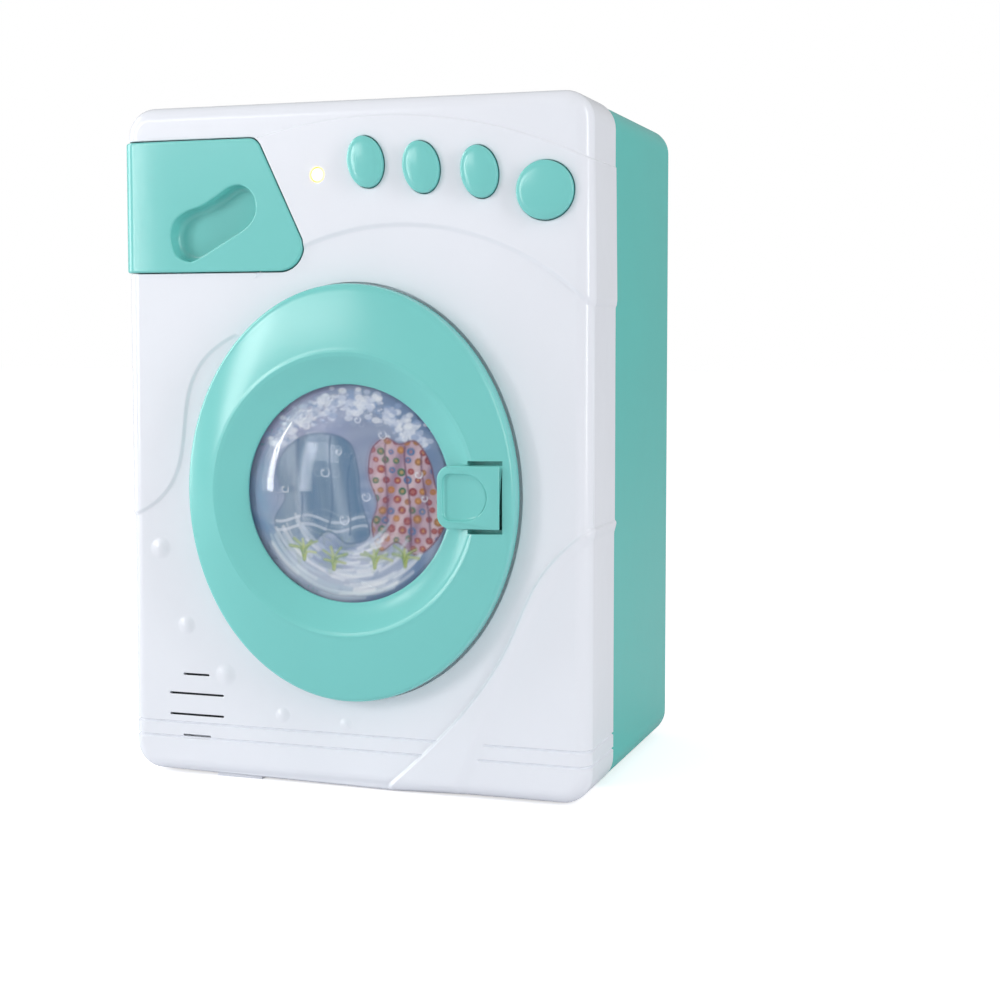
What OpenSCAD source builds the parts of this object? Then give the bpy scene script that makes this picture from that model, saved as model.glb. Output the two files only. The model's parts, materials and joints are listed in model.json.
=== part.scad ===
/* [Cabinet] */
// Width of the cabinet across the front shell
case_w = 170; // [150:1:200]
// Overall height, feet included
case_h = 236; // [225:1:280]
// Depth from the front panel to the back
case_d = 120; // [112:1:150]
// Corner radius of the cabinet seen from the front
case_corner_r = 10; // [8:0.5:16]
// Rounding of the front edges
front_round_r = 5; // [3:0.5:7]
// Rounding of the back edges
back_round_r = 6; // [3:0.5:7]
// Wall thickness of both shells
wall = 2.4; // [1.6:0.1:3]
// Depth of the front shell, where the two shells meet
seam_d = 31.7; // [26:0.1:40]
// How far the front shell stands out past the rear shell
shell_lip = 0.5; // [0.2:0.1:1]
// Height of the moulded feet
foot_h = 0.8; // [0.5:0.1:2]
// Height of the raised control panel and ribbon above the front
step_h = 0.8; // [0.4:0.1:1.2]
// Depth of the lowered lower left area
dip_h = 0.6; // [0.3:0.1:1]

/* [Door] */
// Middle of the door across the cabinet
door_x = 1.9; // [-2:0.1:6]
// Distance of the middle of the door below the top of the cabinet
door_drop = 133; // [128:0.5:136]
// Half width of the oval door
door_a = 59.5; // [57:0.5:66]
// Half height of the oval door
door_b = 70.8; // [68:0.1:76]
// Radius of the rounded door edge
door_edge_r = 3.5; // [3.2:0.1:3.8]
// Height of the outer edge of the door's face above the panel
door_rim_h = 7.8; // [7:0.1:8.5]
// Gap between the closed door and the panel
door_gap = 0.3; // [0.2:0.05:0.5]
// Radius of the sharp ring on the door
crest_r = 47.5; // [46.5:0.5:50]
// Height of the sharp ring above the panel
crest_h = 11; // [10.5:0.1:13]
// Radius of the window opening in the door
window_r = 37; // [34:0.5:38]
// Height of the window edge above the panel
window_edge_h = 6.2; // [6:0.1:7]
// Height of the middle of the window above the panel
dome_h = 16; // [14:0.5:18]
// Wall of the clear window
window_t = 1.6; // [1:0.1:1.8]
// Radius of the steel hinge pin
hinge_pin_r = 1; // [0.8:0.05:1.1]
// Length of the hinge pin
hinge_pin_len = 28; // [24:1:30]

/* [Latch] */
// Left end of the latch tab
latch_left = 36.2; // [34.5:0.1:38]
// Right end of the latch tab
latch_right = 57.2; // [56.5:0.1:57.4]
// Height of the latch tab
latch_tall = 20.8; // [18:0.2:24]
// Thickness of the latch tab
latch_t = 2.4; // [2:0.1:2.6]
// Height of the front of the latch tab above the panel
latch_h = 12; // [12:0.1:13.2]
// Distance of the latch pin from the middle plane of the cabinet
latch_pin_x = 53.4; // [53:0.1:53.6]
// Radius of the latch pin
latch_pin_r = 0.9; // [0.7:0.05:1]

/* [Drawer] */
// Distance of the lower edge of the drawer front below the top of the cabinet
drawer_low = 57.6; // [54:0.2:59]
// Distance of the upper edge of the drawer front below the top of the cabinet
drawer_high = 12.1; // [12:0.1:18]
// How far the drawer front stands out past the shell
drawer_proud = 1; // [0.5:0.1:1.5]
// Depth of the drawer front behind the panel
drawer_front_d = 8; // [7.5:0.5:10]
// Depth of the finger recess in the drawer front
pull_d = 6.5; // [5:0.5:7]
// Length of the tray behind the drawer front
tray_d = 72; // [60:1:80]
// Wall of the tray
tray_wall = 1.6; // [1.2:0.1:2.4]
// Running clearance of the drawer
drawer_clear = 0.4; // [0.3:0.05:0.6]

/* [Controls] */
// Width of an oval button
oval_w = 12.4; // [10:0.2:14]
// Height of an oval button
oval_tall = 17.4; // [14:0.2:19]
// Lean of the oval buttons to the left, in degrees
oval_lean = 12; // [0:1:20]
// Radius of the round button
round_r = 9.6; // [8:0.1:10.4]
// Height of the buttons above the front
button_h = 3.2; // [2.5:0.1:4]
// Gap around each button
button_gap = 0.3; // [0.2:0.05:0.5]
// Radius of the indicator lamp
lamp_r = 2.5; // [2:0.1:3]
// Depth of the circuit board behind the panel
board_y = 12; // [11:0.5:14]

/* [Drum] */
// Radius of the opening in the front shell
mouth_r = 38; // [37:0.5:39]
// Outer radius of the drum basket
drum_r = 39.6; // [38.5:0.1:40]
// Room behind the drum for the gears, the motor and the back wall
drive_room = 54.8; // [54.4:0.1:62]
// Wall of the drum basket
drum_wall = 1.6; // [1.2:0.1:2]
// Inner radius of the tub around the drum
tub_r = 41.6; // [41.2:0.1:42]
// Wall of the tub
tub_wall = 1.8; // [1.4:0.1:1.9]
// Radius of the drum shaft
drum_shaft_r = 3; // [2.5:0.1:4]
// Radial clearance of the shafts in their bores
run_clear = 0.05; // [0.02:0.01:0.09]

/* [Gears] */
// Gear module
gear_m = 0.8; // [0.7:0.05:0.85]
// Teeth on the drum gear
drum_teeth = 50; // [44:1:54]
// Teeth on the large side of the middle gear
middle_teeth = 40; // [36:1:42]
// Teeth on both pinions
pinion_teeth = 10; // [10:1:12]
// Pressure angle of the teeth, in degrees
pressure_deg = 25; // [22:0.5:27]
// Play between meshing teeth
gear_play = 0.16; // [0.1:0.02:0.24]

/* [Sound and power] */
// Distance of the middle of the speaker from the left side
speaker_in = 25.7; // [23:0.1:29]
// Height of the middle of the speaker
speaker_z = 25.5; // [24:0.1:28]
// Radius of the speaker
speaker_r = 14; // [12:0.5:14.5]
// Radius of a battery cell
cell_r = 7.2; // [7:0.05:7.25]
// Length of a battery cell, tip included
cell_len = 50; // [49.5:0.1:50.5]

/* [Hidden] */
$fn = 64;

white = "#e8ecf5";
mint = "#84ccc4";
deep_mint = "#5db5ad";
steel = "#b9bcc0";

// Front panel plane, in the frame whose origin is under the middle of the whole toy
panel_y = (dome_h - case_d) / 2;
half_w = case_w / 2;
door_z = case_h - door_drop;
drawer_z0 = case_h - drawer_low;
drawer_z1 = case_h - drawer_high;
speaker_x = -half_w + speaker_in;

// Everything is drawn with y counted backwards from the front panel
module at_panel() {
    translate([0, panel_y, 0])
        children();
}

// A front view outline, from depth y0 to depth y1
module slab(y0, y1) {
    translate([0, y1, 0])
        rotate([90, 0, 0])
            linear_extrude(y1 - y0)
                children();
}

// A round bar or bore along the depth
module rod(x, z, r, y0, y1) {
    translate([x, y1, z])
        rotate([90, 0, 0])
            cylinder(r = r, h = y1 - y0);
}

// A box between two corners
module block(low, high) {
    translate(low)
        cube(high - low);
}

module rounded_rect(x0, x1, z0, z1, r) {
    translate([x0 + r, z0])
        square([x1 - x0 - 2 * r, z1 - z0]);
    translate([x0, z0 + r])
        square([x1 - x0, z1 - z0 - 2 * r]);
    for (x = [x0 + r, x1 - r], z = [z0 + r, z1 - r])
        translate([x, z])
            circle(r);
}

// One corner disc of the cabinet, with its edge rounded by r_edge
module corner_disc(r, r_edge) {
    rotate([90, 0, 0])
        rotate_extrude($fn = 36)
            polygon([for (a = [-90:15:90]) [r - r_edge + r_edge * cos(a), r_edge * sin(a)]]);
}

// The cabinet's outer form, rounded at its front edges, its back edges or neither
module case_form(grow, z0, y0, y1, r_front, r_back) {
    r = case_corner_r + grow;
    hull()
        for (side = [-1, 1], z = [z0 + r, case_h + min(grow, 0) - r])
            translate([side * (half_w + grow - r), 0, z]) {
                if (r_front > 0)
                    translate([0, y0 + r_front, 0])
                        corner_disc(r, r_front);
                else
                    rod(0, 0, r, y0, y0 + 1, $fn = 36);
                if (r_back > 0)
                    translate([0, y1 - r_back, 0])
                        corner_disc(r, r_back);
                else
                    rod(0, 0, r, y1 - 1, y1, $fn = 36);
            }
}

function bezier(p, t) =
    pow(1 - t, 3) * p[0] + 3 * pow(1 - t, 2) * t * p[1] + 3 * (1 - t) * t * t * p[2] + pow(t, 3) * p[3];
function curve(p, n) = [for (i = [0:n]) bezier(p, i / n)];

// Control panel between two arcs, to the right of the drawer
panel_top_x = 11.4;
panel_top_r = 169.5;
panel_top_z = case_h - 5.7;
panel_low_x = 18.8;
panel_low_r = 93.3;
panel_low_z = case_h - 43.6;
module control_panel_area() {
    intersection() {
        translate([panel_top_x, panel_top_z - panel_top_r])
            circle(panel_top_r, $fn = 180);
        difference() {
            translate([drawer_right_top - 4, drawer_z0 - 20])
                square([case_w, case_h]);
            translate([panel_low_x, panel_low_z - panel_low_r])
                circle(panel_low_r, $fn = 180);
        }
    }
}

// Ribbon that falls from the right edge to a broad foot
ribbon_top = [[half_w + 3, door_z - 7], [46, 67], [78, 58], [10, 0]];
ribbon_low = [[half_w + 3, door_z - 12], [57, 67], [46, -5], [38, 0]];
module ribbon_area() {
    low = curve(ribbon_low, 16);
    polygon(concat(curve(ribbon_top, 16), [for (i = [16:-1:0]) low[i]]));
}

// Lower left area, set back behind an S-shaped step and the ribbon
s_curve = [
    [door_x - 44.4, door_z + 54.3], [-78.5, door_z + 38.5],
    [-49, door_z + 5.5], [3 - half_w, door_z - 9]];
module dip_area() {
    ribbon = curve(ribbon_top, 16);
    polygon(concat(
        curve(s_curve, 16),
        [[-half_w - 5, door_z - 10], [-half_w - 5, -5], [10, -5]],
        [for (i = [16:-1:5]) ribbon[i]],
        [[48, door_z - 23], [-20, door_z + 37]]));
}

// Outline of the drawer front; the slanted right side leans in at the top
drawer_left = -half_w - drawer_proud;
drawer_right_top = drawer_left + 54.4;
drawer_right_low = drawer_left + 69;
drawer_corner_r = 5;
module drawer_outline(gap) {
    r = drawer_corner_r;
    hull() {
        translate([drawer_left - gap, drawer_z0 - gap])
            square([1, drawer_z1 - drawer_z0 + 2 * gap]);
        translate([drawer_right_top - r, drawer_z1 - r])
            circle(r + gap, $fn = 32);
        translate([drawer_right_low - r + 0.4, drawer_z0 + r + 3.6])
            circle(r + gap, $fn = 32);
        translate([drawer_right_low - r - 4, drawer_z0 + r])
            circle(r + gap, $fn = 32);
    }
}

// Buttons: place, and whether the button is round
lamp_at = [drawer_right_top + 20.8, case_h - 25.3];
controls_w = half_w - 15 - lamp_at[0];
button_places = [
    [lamp_at[0] + 0.223 * controls_w, case_h - 21.6],
    [lamp_at[0] + 0.469 * controls_w, case_h - 23.9],
    [lamp_at[0] + 0.722 * controls_w, case_h - 26],
    [lamp_at[0] + controls_w, case_h - 32.6]];
button_outer = -button_h - step_h;
flange_t = 1.5;
flange_over = 1.2;
module button_outline(n, grow) {
    translate(button_places[n])
        if (n == 3)
            circle(round_r + grow);
        else
            rotate(oval_lean)
                scale([(oval_w / 2 + grow) / (oval_tall / 2 + grow), 1])
                    circle(oval_tall / 2 + grow);
}

screw_points = [for (side = [-1, 1]) each
    [[side * (half_w - 6.8), 50], [side * (half_w - 6.8), 150], [side * 52, case_h - 6.8]]];
screw_post_r = 4.8;
shell_screw_r = 1.25;
seat_y = seam_d + 4;

// Hinge: the axis lies one edge radius in from the left of the door
hinge_x = door_x - door_a + door_edge_r;
hinge_y = -door_gap - door_edge_r;
lug_r = 2.2;
lug_z0 = 4.5;
lug_z1 = 9.5;
lug_gap = 0.35;

// Latch: the hook reaches through the shell and catches behind it
latch_z = door_z + 0.4;
latch_pin_y = -7.1;
arm_half = 1.1;
arm_tall = 10;
arm_well_x0 = latch_pin_x - 2.9;
arm_well_x1 = latch_pin_x + 3.1;
hook_y0 = wall + 0.4;
hook_y1 = hook_y0 + 2.4;
hook_tip_x = latch_pin_x + 3.4;
catch_x = latch_pin_x + 2.2;
catch_slot_x0 = latch_pin_x - 3.7;

bubbles = [[-72.8, 81.2, 4.3], [-62.9, 54.1, 3.7], [-47.7, 37.2, 4.4], [-25.8, 24.4, 3], [-2, 22.6, 2.6]];
bubble_h = 1.1;
module bubble(x, z, r) {
    ball = (r * r + bubble_h * bubble_h) / (2 * bubble_h);
    intersection() {
        translate([x, dip_h - bubble_h + ball, z])
            sphere(ball);
        rod(x, z, r + 1, -2, dip_h + 0.5);
    }
}

vent_rows = [[11, 5], [-3.5, 10.6], [4, 10.6], [-11, 5.4]];
vent_t = 1;
groove_z = [13.8, 19];
groove_t = 0.9;
groove_in = 0.6;

tub_out = tub_r + tub_wall;
drum_y1 = case_d - drive_room;
tub_y1 = drum_y1 + 6.8;
drum_y0 = 5.2;

// Front shell: the white front moulding with all its openings and bosses
module front_shell() {
    color(white)
        at_panel()
            difference() {
                union() {
                    difference() {
                        union() {
                            case_form(0, foot_h, 0, seam_d, front_round_r, 0);
                            intersection() {
                                case_form(step_h, 0, -step_h, seam_d, front_round_r + step_h, 0);
                                slab(-2, seam_d) {
                                    control_panel_area();
                                    ribbon_area();
                                }
                            }
                        }
                        slab(-1, dip_h)
                            difference() {
                                dip_area();
                                ribbon_area();
                            }
                        front_grooves();
                        slab(wall, seam_d + 1)
                            rounded_rect(wall - half_w, half_w - wall, wall + foot_h, case_h - wall,
                                case_corner_r - wall);
                    }
                    for (b = bubbles)
                        bubble(b[0], b[1], b[2]);
                    block([-53, 4, 0], [-35.6, 12, wall + foot_h - 0.5]);
                    for (p = screw_points)
                        rod(p[0], p[1], screw_post_r, wall - 0.5, seam_d);
                    drawer_shroud();
                    tub_seat();
                    board_posts();
                    speaker_seat();
                    hinge_lugs();
                }
                for (p = screw_points)
                    rod(p[0], p[1], shell_screw_r + run_clear, seam_d - 14, seam_d + 1);
                slab(-3, drawer_front_d + drawer_clear)
                    drawer_outline(drawer_clear);
                intersection() {
                    slab(drawer_front_d, seam_d - 1)
                        drawer_outline(drawer_clear);
                    block([wall - half_w, 0, 0], [half_w, seam_d, case_h]);
                }
                for (n = [0:3])
                    slab(-3, wall + 1)
                        button_outline(n, button_gap);
                rod(lamp_at[0], lamp_at[1], lamp_r + 0.1, -3, wall + 1);
                rod(door_x, door_z, mouth_r, -1, wall + 1);
                block([catch_slot_x0, -1, latch_z - arm_tall / 2 - 0.6],
                    [catch_x, wall + 1, latch_z + arm_tall / 2 + 0.6]);
                for (v = vent_rows)
                    block([speaker_x - v[1], -1, speaker_z + v[0] - vent_t / 2],
                        [speaker_x + v[1], wall + 1, speaker_z + v[0] + vent_t / 2]);
                for (p = board_points)
                    rod(p[0], p[1], board_screw_r + run_clear, board_y - 8, board_y + 1);
                for (side = [-1, 1])
                    rod(speaker_x + side * speaker_ear, speaker_z, board_screw_r + run_clear,
                        wall, speaker_seat_y + 1);
                translate([hinge_x, hinge_y, door_z])
                    cylinder(r = hinge_pin_r + run_clear, h = 2 * lug_z1 + 2, center = true, $fn = 48);
            }
}

// Two grooves round the foot of the front shell, broken by the ribbon
module front_grooves() {
    difference() {
        for (z = groove_z)
            block([-case_w, -5, z - groove_t / 2], [case_w, seam_d - 1, z + groove_t / 2]);
        case_form(-groove_in, foot_h + groove_in, dip_h + groove_in, seam_d + 1, front_round_r, 0);
        slab(-6, 8)
            ribbon_area();
    }
}

// Wall round the drawer slot behind the panel
module drawer_shroud() {
    intersection() {
        slab(wall - 0.5, guide_y0)
            drawer_outline(drawer_clear + tray_wall);
        block([-half_w + 1, 0, 0], [half_w, seam_d, case_h - 1]);
    }
}

// Ring behind the panel that takes the rim of the tub
module tub_seat() {
    difference() {
        rod(door_x, door_z, tub_out + 0.2 + tub_wall, wall - 0.5, wall + 5);
        rod(door_x, door_z, tub_out + 0.2, wall - 1, wall + 6);
    }
}

board_x0 = lamp_at[0] - 5.2;
board_x1 = half_w - 5;
board_z0 = case_h - 41;
board_z1 = case_h - 14;
board_t = 1.6;
board_screw_r = 0.9;
board_points = [
    [lamp_at[0] + 0.8, board_z0 + 4],
    [(button_places[1][0] + button_places[2][0]) / 2, board_z0 + 3.5],
    [(button_places[2][0] + button_places[3][0]) / 2 + 1.2, board_z1 - 3.5],
    [(button_places[0][0] + button_places[1][0]) / 2, board_z1 - 3.5]];
module board_posts() {
    for (p = board_points)
        rod(p[0], p[1], 2.4, wall - 0.5, board_y);
}

speaker_seat_y = wall + 3;
speaker_ear = speaker_r + 3.6;
ring_t = 1.6;
module speaker_seat() {
    difference() {
        rod(speaker_x, speaker_z, speaker_r - 0.6, wall - 0.5, wall + 1);
        rod(speaker_x, speaker_z, speaker_r - 2, 0, wall + 2);
    }
    for (side = [-1, 1])
        rod(speaker_x + side * speaker_ear, speaker_z, 2.2, wall - 0.5, speaker_seat_y);
}

module hinge_lugs() {
    for (side = [-1, 1])
        translate([hinge_x, hinge_y, door_z + side * (lug_z0 + lug_z1) / 2]) {
            cylinder(r = lug_r, h = lug_z1 - lug_z0, center = true, $fn = 48);
            translate([-0.9, 0, -(lug_z1 - lug_z0) / 2])
                cube([lug_r + 0.6, -hinge_y + 1, lug_z1 - lug_z0]);
        }
}

// Battery bay, moulded into the rear shell
bay_x = 29.5;
bay_z0 = 11.5;
bay_z1 = 58.5;
bay_wall = 3.6;
bay_y0 = case_d - 18;
ledge_y = case_d - wall;
hatch_x = bay_x + 1.9;
hatch_z0 = bay_z0 - 1.9;
hatch_z1 = bay_z1 + 9.5;
hatch_gap = 0.4;
hatch_screw_z = bay_z1 + 5;

module rear_shell() {
    color(deep_mint)
        at_panel()
            difference() {
                union() {
                    difference() {
                        case_form(-shell_lip, foot_h, seam_d, case_d, 0, back_round_r);
                        slab(seam_d - 1, case_d - wall)
                            rounded_rect(wall + shell_lip - half_w, half_w - wall - shell_lip,
                                wall + foot_h, case_h - wall - shell_lip, case_corner_r - wall);
                    }
                    block([-bay_x - bay_wall, bay_y0 - bay_wall / 2, bay_z0 - bay_wall],
                        [bay_x + bay_wall, ledge_y + 0.5, hatch_z1 + bay_wall]);
                    for (p = screw_points)
                        rod(p[0], p[1], screw_post_r, seam_d, case_d - wall + 0.5);
                    for (side = [-1, 1])
                        block([side * 52 - 9, case_d - 18, 0], [side * 52 + 9, case_d - 10, wall]);
                }
                for (p = screw_points) {
                    rod(p[0], p[1], shell_screw_r + 0.35, seam_d - 1, seat_y + 1);
                    rod(p[0], p[1], 3.2, seat_y, case_d + 1);
                }
                block([-bay_x, bay_y0, bay_z0], [bay_x, case_d + 1, bay_z1]);
                slab(ledge_y, case_d + 1)
                    rounded_rect(-hatch_x - hatch_gap, hatch_x + hatch_gap, hatch_z0 - hatch_gap,
                        hatch_z1 + hatch_gap, 3);
                rod(0, hatch_screw_z, 1.4 + run_clear, ledge_y - 9, ledge_y + 1);
            }
}

module pan_screw(x, z, r, y_seat, len, head_r, head_t) {
    rod(x, z, r, y_seat - len, y_seat + head_t / 2);
    difference() {
        rod(x, z, head_r, y_seat, y_seat + head_t);
        block([x - head_r * 0.6, y_seat + head_t * 0.5, z - head_r * 0.14],
            [x + head_r * 0.6, y_seat + head_t + 1, z + head_r * 0.14]);
        block([x - head_r * 0.14, y_seat + head_t * 0.5, z - head_r * 0.6],
            [x + head_r * 0.14, y_seat + head_t + 1, z + head_r * 0.6]);
    }
}

module shell_screws() {
    color(steel)
        at_panel()
            for (p = screw_points)
                pan_screw(p[0], p[1], shell_screw_r, seat_y, 14, 2.8, 2);
}

// Tub: the fixed cup that the drum turns in
hub_r = 6;
hub_y1 = tub_y1 + 4;
clip_angles = [45, 135, 225, 315];
module drum_tub() {
    color(white)
        at_panel()
            difference() {
                union() {
                    difference() {
                        rod(door_x, door_z, tub_out, wall, tub_y1);
                        rod(door_x, door_z, tub_r, wall - 1, tub_y1 - tub_wall);
                    }
                    rod(door_x, door_z, hub_r + 2, tub_y1 - 5, hub_y1);
                    for (p = gearbox_points)
                        rod(p[0], p[1], 2.8, tub_y1 - 1, housing_y0);
                }
                rod(door_x, door_z, hub_r, tub_y1 - 6, hub_y1 + 1);
                for (p = gearbox_points)
                    rod(p[0], p[1], gearbox_screw_r + run_clear, tub_y1 - 1, housing_y0 + 1);
            }
}

module drum_bearing() {
    color("#d8b36a")
        at_panel()
            difference() {
                union() {
                    rod(door_x, door_z, hub_r - 0.02, tub_y1 - 5, hub_y1);
                    rod(door_x, door_z, hub_r + 1, tub_y1 - 6.2, tub_y1 - 5);
                }
                rod(door_x, door_z, drum_shaft_r + run_clear, tub_y1 - 8, hub_y1 + 1);
            }
}

// Clips that hold the tub's rim on its ring
module tub_clips() {
    color(steel)
        at_panel()
            for (a = clip_angles)
                translate([door_x, 0, door_z])
                    rotate([0, a, 0])
                        block([tub_out, wall + 5, -4], [tub_out + 0.2 + tub_wall, wall + 6, 4]);
}

// Gear train behind the tub: drum gear, middle gear, motor pinion
middle_at = [door_x, door_z] + gear_m * (drum_teeth + pinion_teeth) / 2 * [cos(35), sin(35)];
motor_at = middle_at + gear_m * (middle_teeth + pinion_teeth) / 2 * [cos(80), sin(80)];
drum_gear_y = [tub_y1 + 7, tub_y1 + 11];
middle_gear_y = [tub_y1 + 12, tub_y1 + 15.5];
pinion_y = [tub_y1 + 11.6, tub_y1 + 16];
housing_y0 = tub_y1 + 2;
housing_t = 2;
housing_y1 = tub_y1 + 17.5;
cover_t = 2;
gearbox_screw_r = 1.1;
axle_r = 1.5;
drum_tip_r = gear_m * (drum_teeth / 2 + 1);
middle_tip_r = gear_m * (middle_teeth / 2 + 1);
gearbox_points = [for (a = [150, 225, 300]) [door_x, door_z] + (drum_tip_r + 6) * [cos(a), sin(a)]];

module gearbox_outline(grow) {
    hull() {
        translate([door_x, door_z])
            circle(drum_tip_r + 1.5 + grow, $fn = 48);
        translate(middle_at)
            circle(middle_tip_r + 1.5 + grow, $fn = 48);
        translate(motor_at)
            circle(12 + grow, $fn = 48);
    }
}

module gearbox_housing() {
    color("#f0ece0")
        at_panel()
            difference() {
                union() {
                    slab(housing_y0, housing_y1)
                        gearbox_outline(2);
                    for (p = gearbox_points)
                        rod(p[0], p[1], 4, housing_y0, housing_y0 + housing_t);
                }
                slab(housing_y0 + housing_t, housing_y1 + 1)
                    gearbox_outline(0);
                rod(door_x, door_z, hub_r + 2.4, housing_y0 - 1, housing_y0 + housing_t + 1);
                rod(middle_at[0], middle_at[1], axle_r + 0.02, housing_y0 - 1, housing_y0 + housing_t + 1);
                for (p = gearbox_points) {
                    rod(p[0], p[1], gearbox_screw_r + 0.2, housing_y0 - 1, housing_y0 + housing_t + 1);
                    rod(p[0], p[1], 2.4, housing_y0 + housing_t, housing_y1 + 1);
                }
            }
}

module gearbox_cover() {
    color("#e4dfd0")
        at_panel()
            difference() {
                union() {
                    slab(housing_y1, housing_y1 + cover_t)
                        gearbox_outline(2);
                    slab(housing_y1 + cover_t - 0.5, motor_y0 + 6)
                        intersection() {
                            translate(motor_at)
                                circle(motor_r + 2);
                            translate(motor_at - [motor_r + 2, motor_flat + 1.8])
                                square([2 * motor_r + 4, 2 * motor_flat + 3.6]);
                        }
                }
                slab(motor_y0, motor_y0 + 7)
                    motor_outline(0.15);
                rod(motor_at[0], motor_at[1], motor_boss_r + 0.3, housing_y1 - 1, motor_y0 + 1);
                rod(middle_at[0], middle_at[1], axle_r + 0.02, housing_y1 - 1, housing_y1 + cover_t + 1);
                rod(door_x, door_z, drum_shaft_r + run_clear, housing_y1 - 1, housing_y1 + cover_t + 1);
            }
}

module gearbox_screws() {
    color(steel)
        at_panel()
            for (p = gearbox_points)
                pan_screw(p[0], p[1], gearbox_screw_r, housing_y0 + housing_t, 5, 2.1, 1.6);
}

module gear_axle() {
    color(steel)
        at_panel()
            rod(middle_at[0], middle_at[1], axle_r, housing_y0, housing_y1 + cover_t);
}

motor_r = 10;
motor_flat = 7.7;
motor_boss_r = 3;
motor_shaft_r = 1;
motor_y0 = housing_y1 + cover_t;
motor_len = 22;
module motor_outline(grow) {
    intersection() {
        translate(motor_at)
            circle(motor_r + grow);
        translate(motor_at - [motor_r + 1, motor_flat + grow])
            square([2 * motor_r + 2, 2 * (motor_flat + grow)]);
    }
}

module motor() {
    color(steel)
        at_panel()
            difference() {
                union() {
                    slab(motor_y0, motor_y0 + motor_len)
                        motor_outline(0);
                    rod(motor_at[0], motor_at[1], motor_boss_r, motor_y0 - 1.5, motor_y0 + 1);
                    rod(motor_at[0], motor_at[1], 4, motor_y0 + motor_len - 1, motor_y0 + motor_len + 1.4);
                }
                rod(motor_at[0], motor_at[1], motor_shaft_r + run_clear, motor_y0 - 2, motor_y0 + 12);
            }
}

// Involute gear outline: teeth from formula, thinned by half the play on each flank
function involute(base_r, a) = base_r * [cos(a) + a * PI / 180 * sin(a), sin(a) - a * PI / 180 * cos(a)];
function turned(p, a) = [p[0] * cos(a) - p[1] * sin(a), p[0] * sin(a) + p[1] * cos(a)];
function roll(base_r, r) = r <= base_r ? 0 : sqrt(pow(r / base_r, 2) - 1) * 180 / PI;
function tooth(teeth, turn) =
    let (
        pitch_r = gear_m * teeth / 2,
        base_r = pitch_r * cos(pressure_deg),
        root_r = pitch_r - 1.2 * gear_m,
        tip_r = pitch_r + 0.9 * gear_m,
        start_r = max(base_r, root_r + 0.05),
        at_pitch = roll(base_r, pitch_r),
        lead = at_pitch - atan(at_pitch * PI / 180),
        half = 90 / teeth - gear_play / 4 / pitch_r * 180 / PI,
        radii = [for (i = [0:4]) start_r + (tip_r - start_r) * i / 4],
        flank = [for (r = radii) turned(involute(base_r, roll(base_r, r)), -half - lead)],
        right = concat([root_r * [cos(-half - lead), sin(-half - lead)]], flank),
        both = concat(right, [for (i = [len(right) - 1:-1:0]) [right[i][0], -right[i][1]]])
    )
    [for (p = both) turned(p, turn)];

module gear_outline(teeth, turn) {
    polygon([for (k = [0:teeth - 1]) each tooth(teeth, turn + 360 * k / teeth)]);
}

// Each gear is turned so that a tooth meets a gap at rest
drum_turn = 35;
middle_small_turn = 35 + 180 + 180 / pinion_teeth;
middle_large_turn = 80;
pinion_turn = 80 + 180 + 180 / pinion_teeth;

module drum_gear() {
    color("#f4f4ee")
        at_panel()
            difference() {
                union() {
                    slab(drum_gear_y[0], drum_gear_y[1])
                        translate([door_x, door_z])
                            gear_outline(drum_teeth, drum_turn);
                    rod(door_x, door_z, 6, drum_gear_y[0] - 1.5, drum_gear_y[1]);
                }
                rod(door_x, door_z, drum_shaft_r + 0.02, tub_y1, housing_y1);
                for (a = [0:60:300])
                    rod(door_x + 12 * cos(a), door_z + 12 * sin(a), 3.4, tub_y1, housing_y1);
            }
}

module middle_gear() {
    color("#f4f4ee")
        at_panel()
            difference() {
                union() {
                    slab(drum_gear_y[0] - 0.5, middle_gear_y[0] + 0.5)
                        translate(middle_at)
                            gear_outline(pinion_teeth, middle_small_turn);
                    slab(middle_gear_y[0], middle_gear_y[1])
                        translate(middle_at)
                            gear_outline(middle_teeth, middle_large_turn);
                    rod(middle_at[0], middle_at[1], 2.6, housing_y0 + housing_t + 0.3, housing_y1 - 0.3);
                }
                rod(middle_at[0], middle_at[1], axle_r + run_clear, tub_y1, housing_y1 + cover_t);
            }
}

module motor_pinion() {
    color("#c9a24e")
        at_panel()
            difference() {
                slab(pinion_y[0], pinion_y[1])
                    translate(motor_at)
                        gear_outline(pinion_teeth, pinion_turn);
                rod(motor_at[0], motor_at[1], motor_shaft_r + 0.02, tub_y1, housing_y1 + cover_t);
            }
}

module motor_shaft() {
    color(steel)
        at_panel()
            rod(motor_at[0], motor_at[1], motor_shaft_r, pinion_y[0], motor_y0 + 10);
}

// Drum basket: a perforated cup with three lifters
lifter_h = 5;
drum_len = drum_y1 - drum_y0;
module drum_basket() {
    lip_r = mouth_r - 1;
    hole_r = 1.6;
    color("#dfe6ea")
        at_panel()
            difference() {
                union() {
                    difference() {
                        rod(door_x, door_z, drum_r, drum_y0, drum_y1);
                        rod(door_x, door_z, drum_r - drum_wall, drum_y0 + drum_wall, drum_y1 - drum_wall);
                        rod(door_x, door_z, lip_r, drum_y0 - 1, drum_y0 + drum_wall + 1);
                    }
                    for (a = [90, 210, 330])
                        translate([door_x, 0, door_z])
                            rotate([0, a, 0])
                                lifter();
                }
                for (row = [0:2], k = [0:11])
                    translate([door_x, drum_y0 + drum_len * (0.25 + 0.25 * row), door_z])
                        rotate([0, 30 * k + 15, 0])
                            translate([drum_r - drum_wall - 1, 0, 0])
                                rotate([0, 90, 0])
                                    cylinder(r = hole_r, h = drum_wall + 3, $fn = 24);
                rod(door_x, door_z, drum_shaft_r + 0.02, drum_y1 - 5, drum_y1 + 1);
            }
}

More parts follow.
